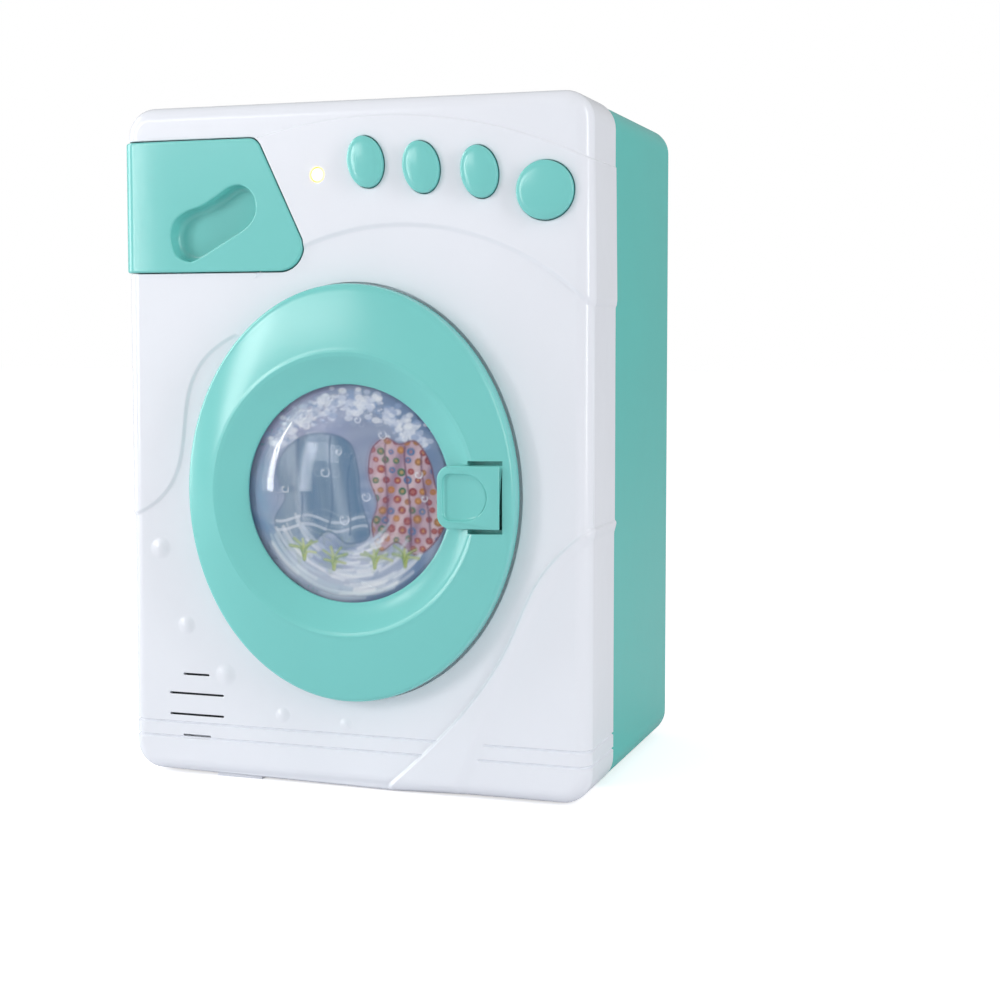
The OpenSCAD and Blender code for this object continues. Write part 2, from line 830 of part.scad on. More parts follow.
module lifter() {
    translate([drum_r - drum_wall - lifter_h, drum_y0 + drum_wall + 2, -2.4])
        cube([lifter_h + 0.4, drum_len - 2 * drum_wall - 1.5, 4.8]);
}

module drum_shaft() {
    color(steel)
        at_panel() {
            rod(door_x, door_z, drum_shaft_r, drum_y1 - drum_wall, housing_y1 + cover_t);
            rod(door_x, door_z, 4.6, drum_y1, tub_y1 - 6.3);
        }
}

module control_board() {
    color("#2f7a4f")
        at_panel()
            difference() {
                slab(board_y, board_y + board_t)
                    rounded_rect(board_x0, board_x1, board_z0, board_z1, 2);
                for (p = board_points)
                    rod(p[0], p[1], board_screw_r + 0.2, board_y - 1, board_y + 3);
            }
}

module board_screws() {
    color(steel)
        at_panel()
            for (p = board_points)
                pan_screw(p[0], p[1], board_screw_r, board_y + board_t, 7, 1.8, 1.3);
}

// Rubber domes on the board, one under each button
pad_y0 = 7.4;
module button_pads() {
    color("#d9d4c6")
        at_panel()
            for (p = button_places) {
                rod(p[0], p[1], 2.4, pad_y0, board_y - 1);
                rod(p[0], p[1], 4.4, board_y - 1.2, board_y);
            }
}

module button(n) {
    color(mint)
        at_panel() {
            difference() {
                slab(button_outer, wall + 0.5)
                    button_outline(n, 0);
                slab(button_outer - 1, button_outer + 0.6)
                    difference() {
                        button_outline(n, 1);
                        button_outline(n, -0.9);
                    }
            }
            slab(wall + 0.3, wall + 0.3 + flange_t)
                button_outline(n, flange_over);
            rod(button_places[n][0], button_places[n][1], 2.6, wall + 1, pad_y0);
        }
}
module oval_button_left() { button(0); }
module oval_button_middle() { button(1); }
module oval_button_right() { button(2); }
module round_button() { button(3); }

module indicator_lamp() {
    lens_y = -step_h - 1;
    color("#ffd873")
        at_panel() {
            rod(lamp_at[0], lamp_at[1], lamp_r, lens_y + lamp_r, wall + 2);
            translate([lamp_at[0], lens_y + lamp_r, lamp_at[1]])
                sphere(lamp_r);
            rod(lamp_at[0], lamp_at[1], lamp_r + 0.5, wall + 0.3, wall + 2);
            for (side = [-1, 1])
                rod(lamp_at[0] + side * 1.2, lamp_at[1], 0.3, wall + 1, board_y);
        }
}

module speaker() {
    y0 = wall + 1;
    color("#3a3d42")
        at_panel() {
            rod(speaker_x, speaker_z, speaker_r, y0, y0 + 1.5);
            translate([speaker_x, y0 + 1.5, speaker_z])
                rotate([-90, 0, 0])
                    cylinder(r1 = speaker_r - 1.5, r2 = 8, h = 4);
            rod(speaker_x, speaker_z, 8, y0 + 5, y0 + 10);
        }
}

module speaker_ring() {
    color(white)
        at_panel()
            difference() {
                union() {
                    rod(speaker_x, speaker_z, speaker_r + 1.4, speaker_seat_y, speaker_seat_y + ring_t);
                    for (side = [-1, 1])
                        rod(speaker_x + side * speaker_ear, speaker_z, 2.6,
                            speaker_seat_y, speaker_seat_y + ring_t);
                }
                rod(speaker_x, speaker_z, speaker_r - 0.8, speaker_seat_y - 1, speaker_seat_y + 3);
                for (side = [-1, 1])
                    rod(speaker_x + side * speaker_ear, speaker_z, board_screw_r + 0.2,
                        speaker_seat_y - 1, speaker_seat_y + 3);
            }
}

module speaker_screws() {
    color(steel)
        at_panel()
            for (side = [-1, 1])
                pan_screw(speaker_x + side * speaker_ear, speaker_z, board_screw_r,
                    speaker_seat_y + ring_t, 4, 1.8, 1.3);
}

cell_y = bay_y0 + 0.3 + cell_r;
cell_step = (bay_z1 - bay_z0) / 3;
function cell_z(i) = bay_z0 + cell_step * (i + 0.5);
function cell_way(i) = i % 2 == 0 ? 1 : -1;
plate_t = 0.5;
// The tip of each cell touches a plate, and its other end a spring
module battery_cells() {
    color("#c9552f")
        at_panel()
            for (i = [0:2])
                translate([cell_way(i) * (bay_x - plate_t), cell_y, cell_z(i)])
                    rotate([0, -90 * cell_way(i), 0]) {
                        cylinder(r = 2.7, h = 2);
                        translate([0, 0, 1])
                            cylinder(r = cell_r, h = cell_len - 1);
                    }
}

module battery_plates() {
    color(steel)
        at_panel()
            for (i = [0:2], side = [-1, 1])
                block([side > 0 ? bay_x - plate_t : -bay_x, cell_y - 5, cell_z(i) - 5],
                    [side > 0 ? bay_x : -bay_x + plate_t, cell_y + 5, cell_z(i) + 5]);
}

// A wound spring as one tube along Z; its rings stand square to the wire
function coil_point(r, len, curls, t) = [r * cos(360 * curls * t), r * sin(360 * curls * t), len * t];
module wound_spring(r, wire_r, len, curls) {
    steps = curls * 8;
    sides = 6;
    slope = atan(len / (2 * PI * r * curls));
    ring = [for (i = [0:steps]) let (p = coil_point(r, len, curls, i / steps), a = 360 * curls * i / steps)
        [for (k = [0:sides - 1]) let (u = wire_r * cos(360 * k / sides), v = wire_r * sin(360 * k / sides))
            p + u * [cos(a), sin(a), 0] + v * [sin(a) * sin(slope), -cos(a) * sin(slope), cos(slope)]]];
    points = [for (row = ring) each row];
    walls = [for (i = [0:steps - 1], k = [0:sides - 1])
        let (n = (k + 1) % sides, a = i * sides, b = a + sides)
        each [[a + k, a + n, b + n], [a + k, b + n, b + k]]];
    ends = [for (k = [1:sides - 2]) each
        [[0, k + 1, k], [steps * sides, steps * sides + k, steps * sides + k + 1]]];
    polyhedron(points, concat(walls, ends));
    echo("least gap between curls, mm", len / curls * cos(slope) - 2 * wire_r);
}

spring_len = 2 * bay_x - 2 * plate_t - cell_len;
module battery_springs() {
    wire_r = 0.35;
    color(steel)
        at_panel()
            for (i = [0:2])
                translate([-cell_way(i) * (bay_x - plate_t - wire_r), cell_y, cell_z(i)])
                    rotate([0, 90 * cell_way(i), 0])
                        wound_spring(3.4, wire_r, spring_len - 2 * wire_r, 4);
}

module battery_hatch() {
    color(deep_mint)
        at_panel()
            difference() {
                slab(ledge_y, case_d - 0.1)
                    rounded_rect(-hatch_x, hatch_x, hatch_z0, hatch_z1, 2.6);
                rod(0, hatch_screw_z, 1.7, ledge_y - 1, case_d + 1);
                rod(0, hatch_screw_z, 3.1, case_d - 1.4, case_d + 1);
            }
}

module hatch_screw() {
    color(steel)
        at_panel()
            pan_screw(0, hatch_screw_z, 1.4, case_d - 1.4, 8, 2.8, 1.2);
}

// Drawer: front, tray, and the guide that carries it
guide_y0 = drawer_front_d + drawer_clear + 1;
tray_x0 = -half_w + 5;
tray_x1 = drawer_right_top + 2.6;
tray_z0 = drawer_z0 + 3.4;
tray_z1 = drawer_z0 + 34;
tray_y1 = drawer_front_d + tray_d;
guide_t = 1.6;
module drawer_guide() {
    gap = drawer_clear;
    color(white)
        at_panel()
            difference() {
                union() {
                    block([tray_x0 - gap - guide_t, guide_y0, tray_z0 - gap - guide_t],
                        [tray_x1 + gap + guide_t, tray_y1 + 4, tray_z0 + 14]);
                    slab(guide_y0, guide_y0 + guide_t)
                        intersection() {
                            drawer_outline(drawer_clear + tray_wall);
                            translate([-half_w + wall + 0.1, 0])
                                square([case_w, case_h]);
                        }
                }
                block([tray_x0 - gap, guide_y0 - 1, tray_z0 - gap],
                    [tray_x1 + gap, tray_y1 + 4 - guide_t, tray_z1 + gap]);
                for (p = screw_points)
                    rod(p[0], p[1], screw_post_r + gap, guide_y0 - 1, guide_y0 + guide_t + 1);
            }
}

module pull_outline() {
    difference() {
        hull() {
            translate([drawer_left + 44.2, drawer_z0 + 21.8])
                circle(8, $fn = 32);
            translate([drawer_left + 26.4, drawer_z0 + 12.6])
                circle(8.6, $fn = 32);
        }
        translate([drawer_left + 26, drawer_z0 + 37.6])
            circle(15, $fn = 48);
    }
}

module drawer_front() {
    edge = 2.2;
    r = drawer_corner_r;
    color(mint)
        at_panel()
            difference() {
                union() {
                    intersection() {
                        slab(-drawer_proud, drawer_front_d)
                            drawer_outline(0);
                        hull()
                            for (z = [drawer_z0 + edge, drawer_z1 - edge])
                                for (x = [drawer_left + r, drawer_right_top + 40],
                                    y = [r - drawer_proud, drawer_front_d + r])
                                    translate([x, y, z])
                                        corner_disc_z(r, edge);
                    }
                    slab(pull_d - drawer_proud, drawer_front_d + 0.6)
                        intersection() {
                            drawer_outline(-2);
                            translate([tray_x0 + 1, 0])
                                square([case_w, case_h]);
                        }
                }
                slab(-3, pull_d - drawer_proud)
                    pull_outline();
            }
}

// A disc lying flat, with rounded rims
module corner_disc_z(r, r_edge) {
    rotate_extrude($fn = 32)
        translate([r - r_edge, 0])
            circle(r_edge, $fn = 16);
}

module drawer_tray() {
    color(mint)
        at_panel()
            difference() {
                block([tray_x0, drawer_front_d + 0.6, tray_z0], [tray_x1, tray_y1, tray_z1]);
                block([tray_x0 + tray_wall, drawer_front_d + 0.6 + tray_wall, tray_z0 + tray_wall],
                    [tray_x1 - tray_wall, tray_y1 - tray_wall, tray_z1 + 1]);
            }
}

// Door frame: its section follows ovals at the rim and turns into circles at the window
pocket_r = 40.4;
flange_y = -5;
rim_round_r = 2;
function rim(a) = [
    door_a - door_edge_r * (1 - cos(a)), door_b - door_edge_r * (1 - cos(a)),
    hinge_y - door_edge_r * sin(a)];
function rim_round(a) = [
    door_a - rim_round_r * (1 - cos(a)), door_b - rim_round_r * (1 - cos(a)),
    rim_round_r - door_rim_h - rim_round_r * sin(a)];
face_start = rim_round(70);
// The face rises from the rim to the sharp ring, slightly crowned
function face_point(u) = [
    face_start[0] + (crest_r - face_start[0]) * u,
    face_start[1] + (crest_r - face_start[1]) * u,
    face_start[2] - (crest_h + face_start[2]) * u * (1.3 - 0.3 * u)];
frame_rings = concat(
    [for (a = [-90:22.5:0]) rim(a)],
    [for (a = [0:35:70]) rim_round(a)],
    [for (u = [0.33, 0.67, 1]) face_point(u)],
    [[(crest_r + window_r) / 2, (crest_r + window_r) / 2, -(crest_h + window_edge_h) / 2 + 0.5]],
    [[window_r, window_r, -window_edge_h], [window_r, window_r, -door_gap]]);
frame_steps = 72;

module ring_solid(rings, steps) {
    count = len(rings);
    points = [for (k = [0:steps - 1], r = rings)
        [door_x + r[0] * cos(360 * k / steps), r[2], door_z + r[1] * sin(360 * k / steps)]];
    faces = [for (k = [0:steps - 1], i = [0:count - 1])
        let (a = k * count, b = (k + 1) % steps * count, n = (i + 1) % count)
            each [[a + i, b + n, b + i], [a + i, a + n, b + n]]];
    polyhedron(points, faces);
}

module hinge_notch(z0, z1) {
    translate([hinge_x, hinge_y, (z0 + z1) / 2]) {
        cylinder(r = lug_r + lug_gap, h = z1 - z0, center = true, $fn = 48);
        translate([-6, 0, -(z1 - z0) / 2])
            cube([6 + lug_r + 0.6, 6, z1 - z0]);
        translate([-6, -1.3, -(z1 - z0) / 2])
            cube([6, 3, z1 - z0]);
    }
}

door_screw_r = 0.9;
door_screw_at = 43.2;
liner_y0 = -1.9;
module door_frame() {
    color(mint)
        at_panel()
            difference() {
                ring_solid(frame_rings, frame_steps);
                rod(door_x, door_z, pocket_r, flange_y, 1);
                rod(door_x, door_z, 46.3, liner_y0, 1);
                for (side = [-1, 1])
                    hinge_notch(door_z + side * 7 - 2.5 - lug_gap, door_z + side * 7 + 2.5 + lug_gap);
                translate([hinge_x, hinge_y, door_z])
                    cylinder(r = hinge_pin_r + 0.02, h = hinge_pin_len + 0.4, center = true, $fn = 48);
                for (a = clip_angles)
                    rod(door_x + door_screw_at * cos(a), door_z + door_screw_at * sin(a),
                        door_screw_r + 0.02, -7, 0);
                latch_pocket();
            }
}

// Pocket for the latch tab, the well of its arm, and the holes of its pin and spring
latch_slot = 1.5;
latch_slot_x = latch_left + 10.1;
spring_x0 = latch_pin_x - 6.1;
spring_y = -4.2;
module latch_pocket() {
    half = latch_tall / 2;
    floor_y = latch_t - latch_h;
    right = latch_right + 1.1;
    block([latch_left - 10, -latch_h - 8, latch_z - half - 0.4],
        [right, floor_y + 0.4, latch_z + half + 0.4]);
    block([latch_slot_x, -latch_h - 8, latch_z - half - latch_slot],
        [right, floor_y + 1.2, latch_z + half + latch_slot]);
    block([arm_well_x0, -latch_h - 8, latch_z - arm_tall / 2 - 0.6],
        [arm_well_x1, 2, latch_z + arm_tall / 2 + 0.6]);
    translate([latch_pin_x, latch_pin_y, latch_z])
        cylinder(r = latch_pin_r + 0.02, h = latch_tall, center = true, $fn = 36);
    translate([spring_x0, spring_y, latch_z])
        rotate([0, 90, 0])
            cylinder(r = 1.7, h = 5, $fn = 36);
}

module latch_tab() {
    color(mint)
        at_panel()
            difference() {
                union() {
                    slab(-latch_h, -latch_h + latch_t)
                        tab_outline();
                    translate([latch_pin_x, latch_pin_y, latch_z])
                        cylinder(r = 2.2, h = arm_tall, center = true, $fn = 48);
                    block([latch_pin_x - arm_half, -latch_h + 1, latch_z - arm_tall / 2],
                        [latch_pin_x + arm_half, hook_y1, latch_z + arm_tall / 2]);
                    block([latch_pin_x - arm_half, hook_y0, latch_z - arm_tall / 2],
                        [hook_tip_x, hook_y1, latch_z + arm_tall / 2]);
                }
                slab(-latch_h - 1, -latch_h + 1.2)
                    finger_outline();
                translate([latch_pin_x, latch_pin_y, latch_z])
                    cylinder(r = latch_pin_r + run_clear, h = arm_tall + 1, center = true, $fn = 36);
            }
}

// Tab outline: square at the right, two rounded corners at the left
module tab_outline() {
    r = 4.5;
    half = latch_tall / 2;
    translate([latch_left + r, latch_z - half])
        square([latch_right - latch_left - r, 2 * half]);
    translate([latch_left, latch_z - half + r])
        square([r + 1, 2 * half - 2 * r]);
    for (side = [-1, 1])
        translate([latch_left + r, latch_z + side * (half - r)])
            circle(r, $fn = 48);
}

// Finger recess: flat at the left, half round at the right
module finger_outline() {
    r = latch_tall / 2 - 2.7;
    x0 = latch_left + 1.9;
    x1 = latch_right - 4.2 - r;
    translate([x0, latch_z - r])
        square([x1 - x0, 2 * r]);
    translate([x1, latch_z])
        circle(r);
}

module latch_pin() {
    color(steel)
        at_panel()
            translate([latch_pin_x, latch_pin_y, latch_z])
                cylinder(r = latch_pin_r, h = latch_tall - 1, center = true, $fn = 36);
}

module latch_spring() {
    wire_r = 0.22;
    color(steel)
        at_panel()
            translate([spring_x0 + wire_r, spring_y, latch_z])
                rotate([0, 90, 0])
                    wound_spring(1.2, wire_r, latch_pin_x - arm_half - spring_x0 - 2 * wire_r - 0.1, 5);
}

module door_liner() {
    color(deep_mint)
        at_panel()
            difference() {
                union() {
                    rod(door_x, door_z, 46, liner_y0, -door_gap - 0.1);
                    rod(door_x, door_z, pocket_r - 0.3, liner_y0 - 1, -door_gap - 0.1);
                    rod(door_x, door_z, 35, -door_gap - 1, 3);
                }
                rod(door_x, door_z, 33.4, -door_gap - 0.6, 4);
                for (a = clip_angles)
                    rod(door_x + door_screw_at * cos(a), door_z + door_screw_at * sin(a),
                        door_screw_r + 0.1, -8, 1);
                for (a = clip_angles)
                    rod(door_x + door_screw_at * cos(a), door_z + door_screw_at * sin(a), 2, -1.3, 1);
            }
}

module door_screws() {
    color(steel)
        at_panel()
            for (a = clip_angles)
                pan_screw(door_x + door_screw_at * cos(a), door_z + door_screw_at * sin(a),
                    door_screw_r, -1.3, 5, 1.8, 0.9);
}

// Clear window: a flange and a shallow ball cap
module door_window() {
    r = window_r - 0.5;
    rise = dome_h - 1.6 + flange_y + 1.6;
    ball = (r * r + rise * rise) / (2 * rise);
    color([0.75, 0.85, 0.95, 0.4])
        at_panel()
            union() {
                intersection() {
                    difference() {
                        translate([door_x, -dome_h + ball, door_z])
                            sphere(ball, $fn = 96);
                        translate([door_x, -dome_h + ball, door_z])
                            sphere(ball - window_t, $fn = 96);
                    }
                    rod(door_x, door_z, r, -dome_h - 1, flange_y + 0.5);
                }
                difference() {
                    rod(door_x, door_z, pocket_r - 0.3, flange_y, flange_y + 1.2);
                    rod(door_x, door_z, r - window_t - 2, flange_y - 1, flange_y + 3);
                }
            }
}

module picture_disc() {
    color("#9fb0cc")
        at_panel()
            rod(door_x, door_z, pocket_r - 0.4, flange_y + 1.2, liner_y0 - 1);
}

module hinge_pin() {
    color(steel)
        at_panel()
            translate([hinge_x, hinge_y, door_z])
                cylinder(r = hinge_pin_r, h = hinge_pin_len, center = true, $fn = 48);
}

front_shell();
rear_shell();
shell_screws();
drum_tub();
drum_bearing();
tub_clips();
gearbox_housing();
gearbox_cover();
gearbox_screws();
gear_axle();
motor();
control_board();
board_screws();
button_pads();
indicator_lamp();
speaker();
speaker_ring();
speaker_screws();
battery_cells();
battery_springs();
battery_plates();
drawer_guide();
door_frame();
door_liner();
door_screws();
door_window();
picture_disc();
hinge_pin();
latch_tab();
latch_pin();
latch_spring();
drawer_front();
drawer_tray();
oval_button_left();
oval_button_middle();
oval_button_right();
round_button();
drum_basket();
drum_shaft();
drum_gear();
middle_gear();
motor_pinion();
motor_shaft();
battery_hatch();
hatch_screw();
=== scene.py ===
"""Toy washing machine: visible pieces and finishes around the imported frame, laid out as an add-on."""

import json
import math
from contextlib import contextmanager
from types import SimpleNamespace

import bmesh
import bpy
import numpy as np
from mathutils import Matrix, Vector
from mathutils.geometry import delaunay_2d_cdt


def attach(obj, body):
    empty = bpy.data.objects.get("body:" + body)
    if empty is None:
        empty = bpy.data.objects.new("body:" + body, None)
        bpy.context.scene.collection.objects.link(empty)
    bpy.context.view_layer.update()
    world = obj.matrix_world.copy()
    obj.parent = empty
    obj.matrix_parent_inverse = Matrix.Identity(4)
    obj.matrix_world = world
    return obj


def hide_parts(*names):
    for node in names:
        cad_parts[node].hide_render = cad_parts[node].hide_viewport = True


bl_info = {
    "name": "Toy washing machine",
    "version": (1, 0, 0),
    "blender": (4, 5, 0),
    "location": "3D View > Sidebar > Toy",
    "description": "Models and finishes the visible pieces of a toy washing machine",
    "category": "Add Mesh",
}

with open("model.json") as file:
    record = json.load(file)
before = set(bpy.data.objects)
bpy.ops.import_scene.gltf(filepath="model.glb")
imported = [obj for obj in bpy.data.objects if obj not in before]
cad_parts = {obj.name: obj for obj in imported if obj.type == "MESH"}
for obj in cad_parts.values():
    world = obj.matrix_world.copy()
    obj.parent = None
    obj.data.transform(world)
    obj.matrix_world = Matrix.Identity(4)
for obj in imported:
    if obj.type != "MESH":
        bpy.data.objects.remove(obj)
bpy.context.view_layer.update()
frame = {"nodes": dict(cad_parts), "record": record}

MM = 0.001
# Depths are counted in millimetres backwards from the flat front panel, which stands here
PANEL_Y = -52.0
# The material of each finish, by its slot
FINISHES = {}


def linear(colour):
    """An sRGB hex colour as the linear values that shaders use."""
    parts = [int(colour[i : i + 2], 16) / 255 for i in (1, 3, 5)]
    return [c / 12.92 if c <= 0.04045 else ((c + 0.055) / 1.055) ** 2.4 for c in parts]


# Modelling helpers


def place(x, y, z):
    """A point in millimetres, depth counted from the panel, as metres in the row frame."""
    return Vector((x, y + PANEL_Y, z)) * MM


def lengths(context):
    """The toy's sizes in millimetres."""
    sizes = context.scene.washer_sizes
    return SimpleNamespace(**{name: getattr(sizes, name) / MM for name in sizes.__annotations__})


def alone(piece):
    """Deselects everything and makes one piece the only selected and active one."""
    bpy.ops.object.select_all(action="DESELECT")
    piece.select_set(True)
    bpy.context.view_layer.objects.active = piece


def blank(name):
    piece = bpy.data.objects.new(name, bpy.data.meshes.new(name))
    bpy.context.scene.collection.objects.link(piece)
    return piece


@contextmanager
def shaping(piece):
    """Edit mode on one piece."""
    alone(piece)
    bpy.ops.object.mode_set(mode="EDIT")
    bpy.context.tool_settings.mesh_select_mode = (True, False, False)
    yield
    bpy.ops.object.mode_set(mode="OBJECT")


def pick(kind, test):
    """Selects edges or faces in edit mode by test(x, y, z, item), with the item's middle in millimetres."""
    piece = bpy.context.edit_object
    bpy.context.tool_settings.mesh_select_mode = (False, kind == "EDGE", kind == "FACE")
    bpy.ops.mesh.select_all(action="DESELECT")
    mesh = bmesh.from_edit_mesh(piece.data)
    for item in mesh.edges if kind == "EDGE" else mesh.faces:
        middle = sum((v.co for v in item.verts), Vector()) / len(item.verts) / MM
        item.select_set(bool(test(middle.x, middle.y - PANEL_Y, middle.z, item)))
    mesh.select_flush_mode()
    bmesh.update_edit_mesh(piece.data)


def rounded_edges(width, steps, test):
    """Rounds the picked edges in edit mode."""
    pick("EDGE", test)
    bpy.ops.mesh.bevel(offset=width * MM, segments=steps, affect="EDGES")


def drawn_circle(x, y, z, sides, fill):
    """A circle of radius 1 that faces the front, the only thing selected."""
    bpy.ops.mesh.select_all(action="DESELECT")
    bpy.ops.mesh.primitive_circle_add(
        vertices=sides, radius=MM, location=place(x, y, z), rotation=(math.pi / 2, 0, 0), fill_type=fill)


def circles(*rings):
    """Round rings, each given as (radius, depth)."""
    return [(radius, radius, y) for radius, y in rings]


def drawn_rings(centre, rings, sides=96, capped=False):
    """A circle drawn out through rings, each (half width, half height, depth). One of no width is a point."""
    cx, cz = centre
    width, height, y = rings[0]
    drawn_circle(cx, y, cz, sides, "NGON" if capped else "NOTHING")
    bpy.ops.transform.resize(value=(width, 1, height), center_override=place(cx, y, cz))
    for (w0, h0, y0), (w1, h1, y1) in zip(rings, rings[1:]):
        bpy.ops.mesh.extrude_edges_move(TRANSFORM_OT_translate={"value": (0, (y1 - y0) * MM, 0)})
        if w1 == 0:
            bpy.ops.mesh.merge(type="CENTER")
        else:
            bpy.ops.transform.resize(value=(w1 / w0, 1, h1 / h0), center_override=place(cx, y1, cz))
    if capped and rings[-1][0]:
        bpy.ops.mesh.edge_face_add()


def drawn_tube(centre, outer, inner, y0, y1, sides=48):
    drawn_rings(centre, circles((outer, y0), (outer, y1), (inner, y1), (inner, y0), (outer, y0)), sides)


def moved(change, selected=False):
    """Moves vertices in edit mode. change(x, y, z) takes and gives millimetres, or gives None for no move."""
    piece = bpy.context.edit_object
    mesh = bmesh.from_edit_mesh(piece.data)
    for vertex in mesh.verts:
        if vertex.select or not selected:
            x, y, z = (value / MM for value in vertex.co)
            spot = change(x, y - PANEL_Y, z)
            if spot:
                vertex.co = place(*spot)
    bmesh.update_edit_mesh(piece.data)


def drawn_plate(outline, y0, y1):
    """A flat outline drawn back into a plate. The circle's vertices are moved onto the outline in turn."""
    drawn_circle(0, y0, 0, len(outline), "NGON")
    spots = iter(outline)

    def next_spot(x, y, z):
        x, z = next(spots)
        return x, y0, z

    moved(next_spot, selected=True)
    bpy.ops.mesh.extrude_region_move(TRANSFORM_OT_translate={"value": (0, (y1 - y0) * MM, 0)})


def drawn_bar(x, y, radius, z0, z1, sides=40):
    """An upright round bar."""
    bpy.ops.mesh.select_all(action="DESELECT")
    bpy.ops.mesh.primitive_cylinder_add(
        vertices=sides, radius=radius * MM, depth=(z1 - z0) * MM, location=place(x, y, (z0 + z1) / 2))


def drawn_box(low, high):
    bpy.ops.mesh.select_all(action="DESELECT")
    middle = place(*[(a + b) / 2 for a, b in zip(low, high)])
    bpy.ops.mesh.primitive_cube_add(size=MM, location=middle)
    bpy.ops.transform.resize(value=[b - a for a, b in zip(low, high)], center_override=middle)


def sound():
    """Merges doubles and turns every face outwards, in edit mode."""
    bpy.ops.mesh.select_all(action="SELECT")
    bpy.ops.mesh.remove_doubles(threshold=0.001 * MM)
    bpy.ops.mesh.normals_make_consistent(inside=False)


def applied(piece, kind, **settings):
    """Adds a modifier with its settings and applies it."""
    alone(piece)
    modifier = piece.modifiers.new(kind.lower(), kind)
    for key, value in settings.items():
        setattr(modifier, key, value)
    bpy.ops.object.modifier_apply(modifier=modifier.name)


def carved(piece, *shapes, operation="DIFFERENCE"):
    """Cuts closed shapes out of the piece, or joins them on. Each shape is a function that draws one."""
    for shape in shapes:
        tool = blank("tool")
        with shaping(tool):
            shape()
            sound()
        applied(piece, "BOOLEAN", operation=operation, object=tool, solver="MANIFOLD")
        bpy.data.objects.remove(tool)


def softened(piece, width, steps=3, angle=35):
    applied(piece, "BEVEL", width=width * MM, segments=steps, limit_method="ANGLE",
            angle_limit=math.radians(angle), miter_outer="MITER_ARC")


def done(piece, body, slot, nodes, angle=32, merged=True):
    """Smooths a piece, gives it its finish and lets it ride on its body in place of the frame's nodes."""
    if merged:
        with shaping(piece):
            sound()
    alone(piece)
    bpy.ops.object.shade_smooth_by_angle(angle=math.radians(angle))
    piece.data.materials.clear()
    piece.data.materials.append(FINISHES[slot])
    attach(piece, body)
    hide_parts(*nodes)


def evened(piece):
    """Lets the large flat faces set the shading where they meet small roundings."""
    applied(piece, "WEIGHTED_NORMAL", keep_sharp=True)


# Plane geometry in millimetres


def bezier(points, steps):
    t = np.linspace(0, 1, steps + 1)[:, None]
    p = np.array(points, float)
    return (1 - t) ** 3 * p[0] + 3 * (1 - t) ** 2 * t * p[1] + 3 * (1 - t) * t * t * p[2] + t**3 * p[3]


def smooth_loop(points, steps=6):
    """A closed line that passes smoothly through the points."""
    p = np.array(points, float)
    t = np.linspace(0, 1, steps, endpoint=False)[:, None]
    return np.concatenate([
        0.5 * (2 * b + (c - a) * t + (2 * a - 5 * b + 4 * c - d) * t**2 + (3 * b - a - 3 * c + d) * t**3)
        for a, b, c, d in zip(np.roll(p, 1, 0), p, np.roll(p, -1, 0), np.roll(p, -2, 0))])


def arc(centre, radius, start, end, steps):
    a = np.radians(np.linspace(start, end, steps + 1))
    return np.array(centre) + radius * np.stack([np.cos(a), np.sin(a)], 1)


def oval(centre, half_w, half_h, lean=0.0, sides=48):
    a = np.linspace(0, 2 * math.pi, sides, endpoint=False)
    x, z = half_w * np.cos(a), half_h * np.sin(a)
    c, s = math.cos(math.radians(lean)), math.sin(math.radians(lean))
    return np.array(centre) + np.stack([x * c - z * s, x * s + z * c], 1)


def rounded_box(x0, x1, z0, z1, r, steps=8):
    corners = [(x1 - r, z1 - r, 0), (x0 + r, z1 - r, 90), (x0 + r, z0 + r, 180), (x1 - r, z0 + r, 270)]
    return np.concatenate([arc((x, z), r, a, a + 90, steps) for x, z, a in corners])


def shifted(line, distance, closed=False):
    """The line moved to its right by a distance."""
    if closed:
        way = np.roll(line, -1, 0) - np.roll(line, 1, 0)
    else:
        way = np.gradient(line, axis=0)
    way /= np.linalg.norm(way, axis=1)[:, None]
    return line + distance * np.stack([way[:, 1], -way[:, 0]], 1)


def line_distance(points, line, closed=False):
    """Distance from each point to a line of straight pieces."""
    a = line if closed else line[:-1]
    b = np.roll(line, -1, 0) if closed else line[1:]
    best = np.full(len(points), 1e9)
    for p, q in zip(a, b):
        way = q - p
        t = clamp((points - p) @ way / max(way @ way, 1e-12))
        best = np.minimum(best, np.hypot(*(points - p - t[:, None] * way).T))
    return best


def within(points, outline):
    """Which points lie inside a closed outline."""
    x, z = points.T
    found = np.zeros(len(points), bool)
    for (x0, z0), (x1, z1) in zip(outline, np.roll(outline, -1, 0)):
        if z0 == z1:
            continue
        crossed = (z0 > z) != (z1 > z)
        found ^= crossed & (x < (x1 - x0) * (z - z0) / (z1 - z0) + x0)
    return found


def clamp(t):
    return np.clip(t, 0, 1)


def ramp(t):
    t = clamp(t)
    return t * t * (3 - 2 * t)


# Places and sizes in millimetres, as (x, z) seen from the front, shared by several pieces

DOOR_AT = (1.9, 103.0)
# The door's pin, and the two lugs of the front that carry it: radius, nearest and farthest height from the
# door's middle, and the gap round them
PIN_X, PIN_Y = -54.1, -3.8
LUG_R, LUG_LOW, LUG_HIGH, LUG_GAP = 2.2, 4.5, 9.5, 0.35
# The latch's grip, and the pin that it turns on, as (x, depth)
LATCH_Z = 103.4
LATCH_LEFT, LATCH_RIGHT, LATCH_TALL = 36.2, 57.2, 20.8
LATCH_FRONT, LATCH_BACK = -12.0, -9.6
LATCH_PIN = (53.4, -7.1)
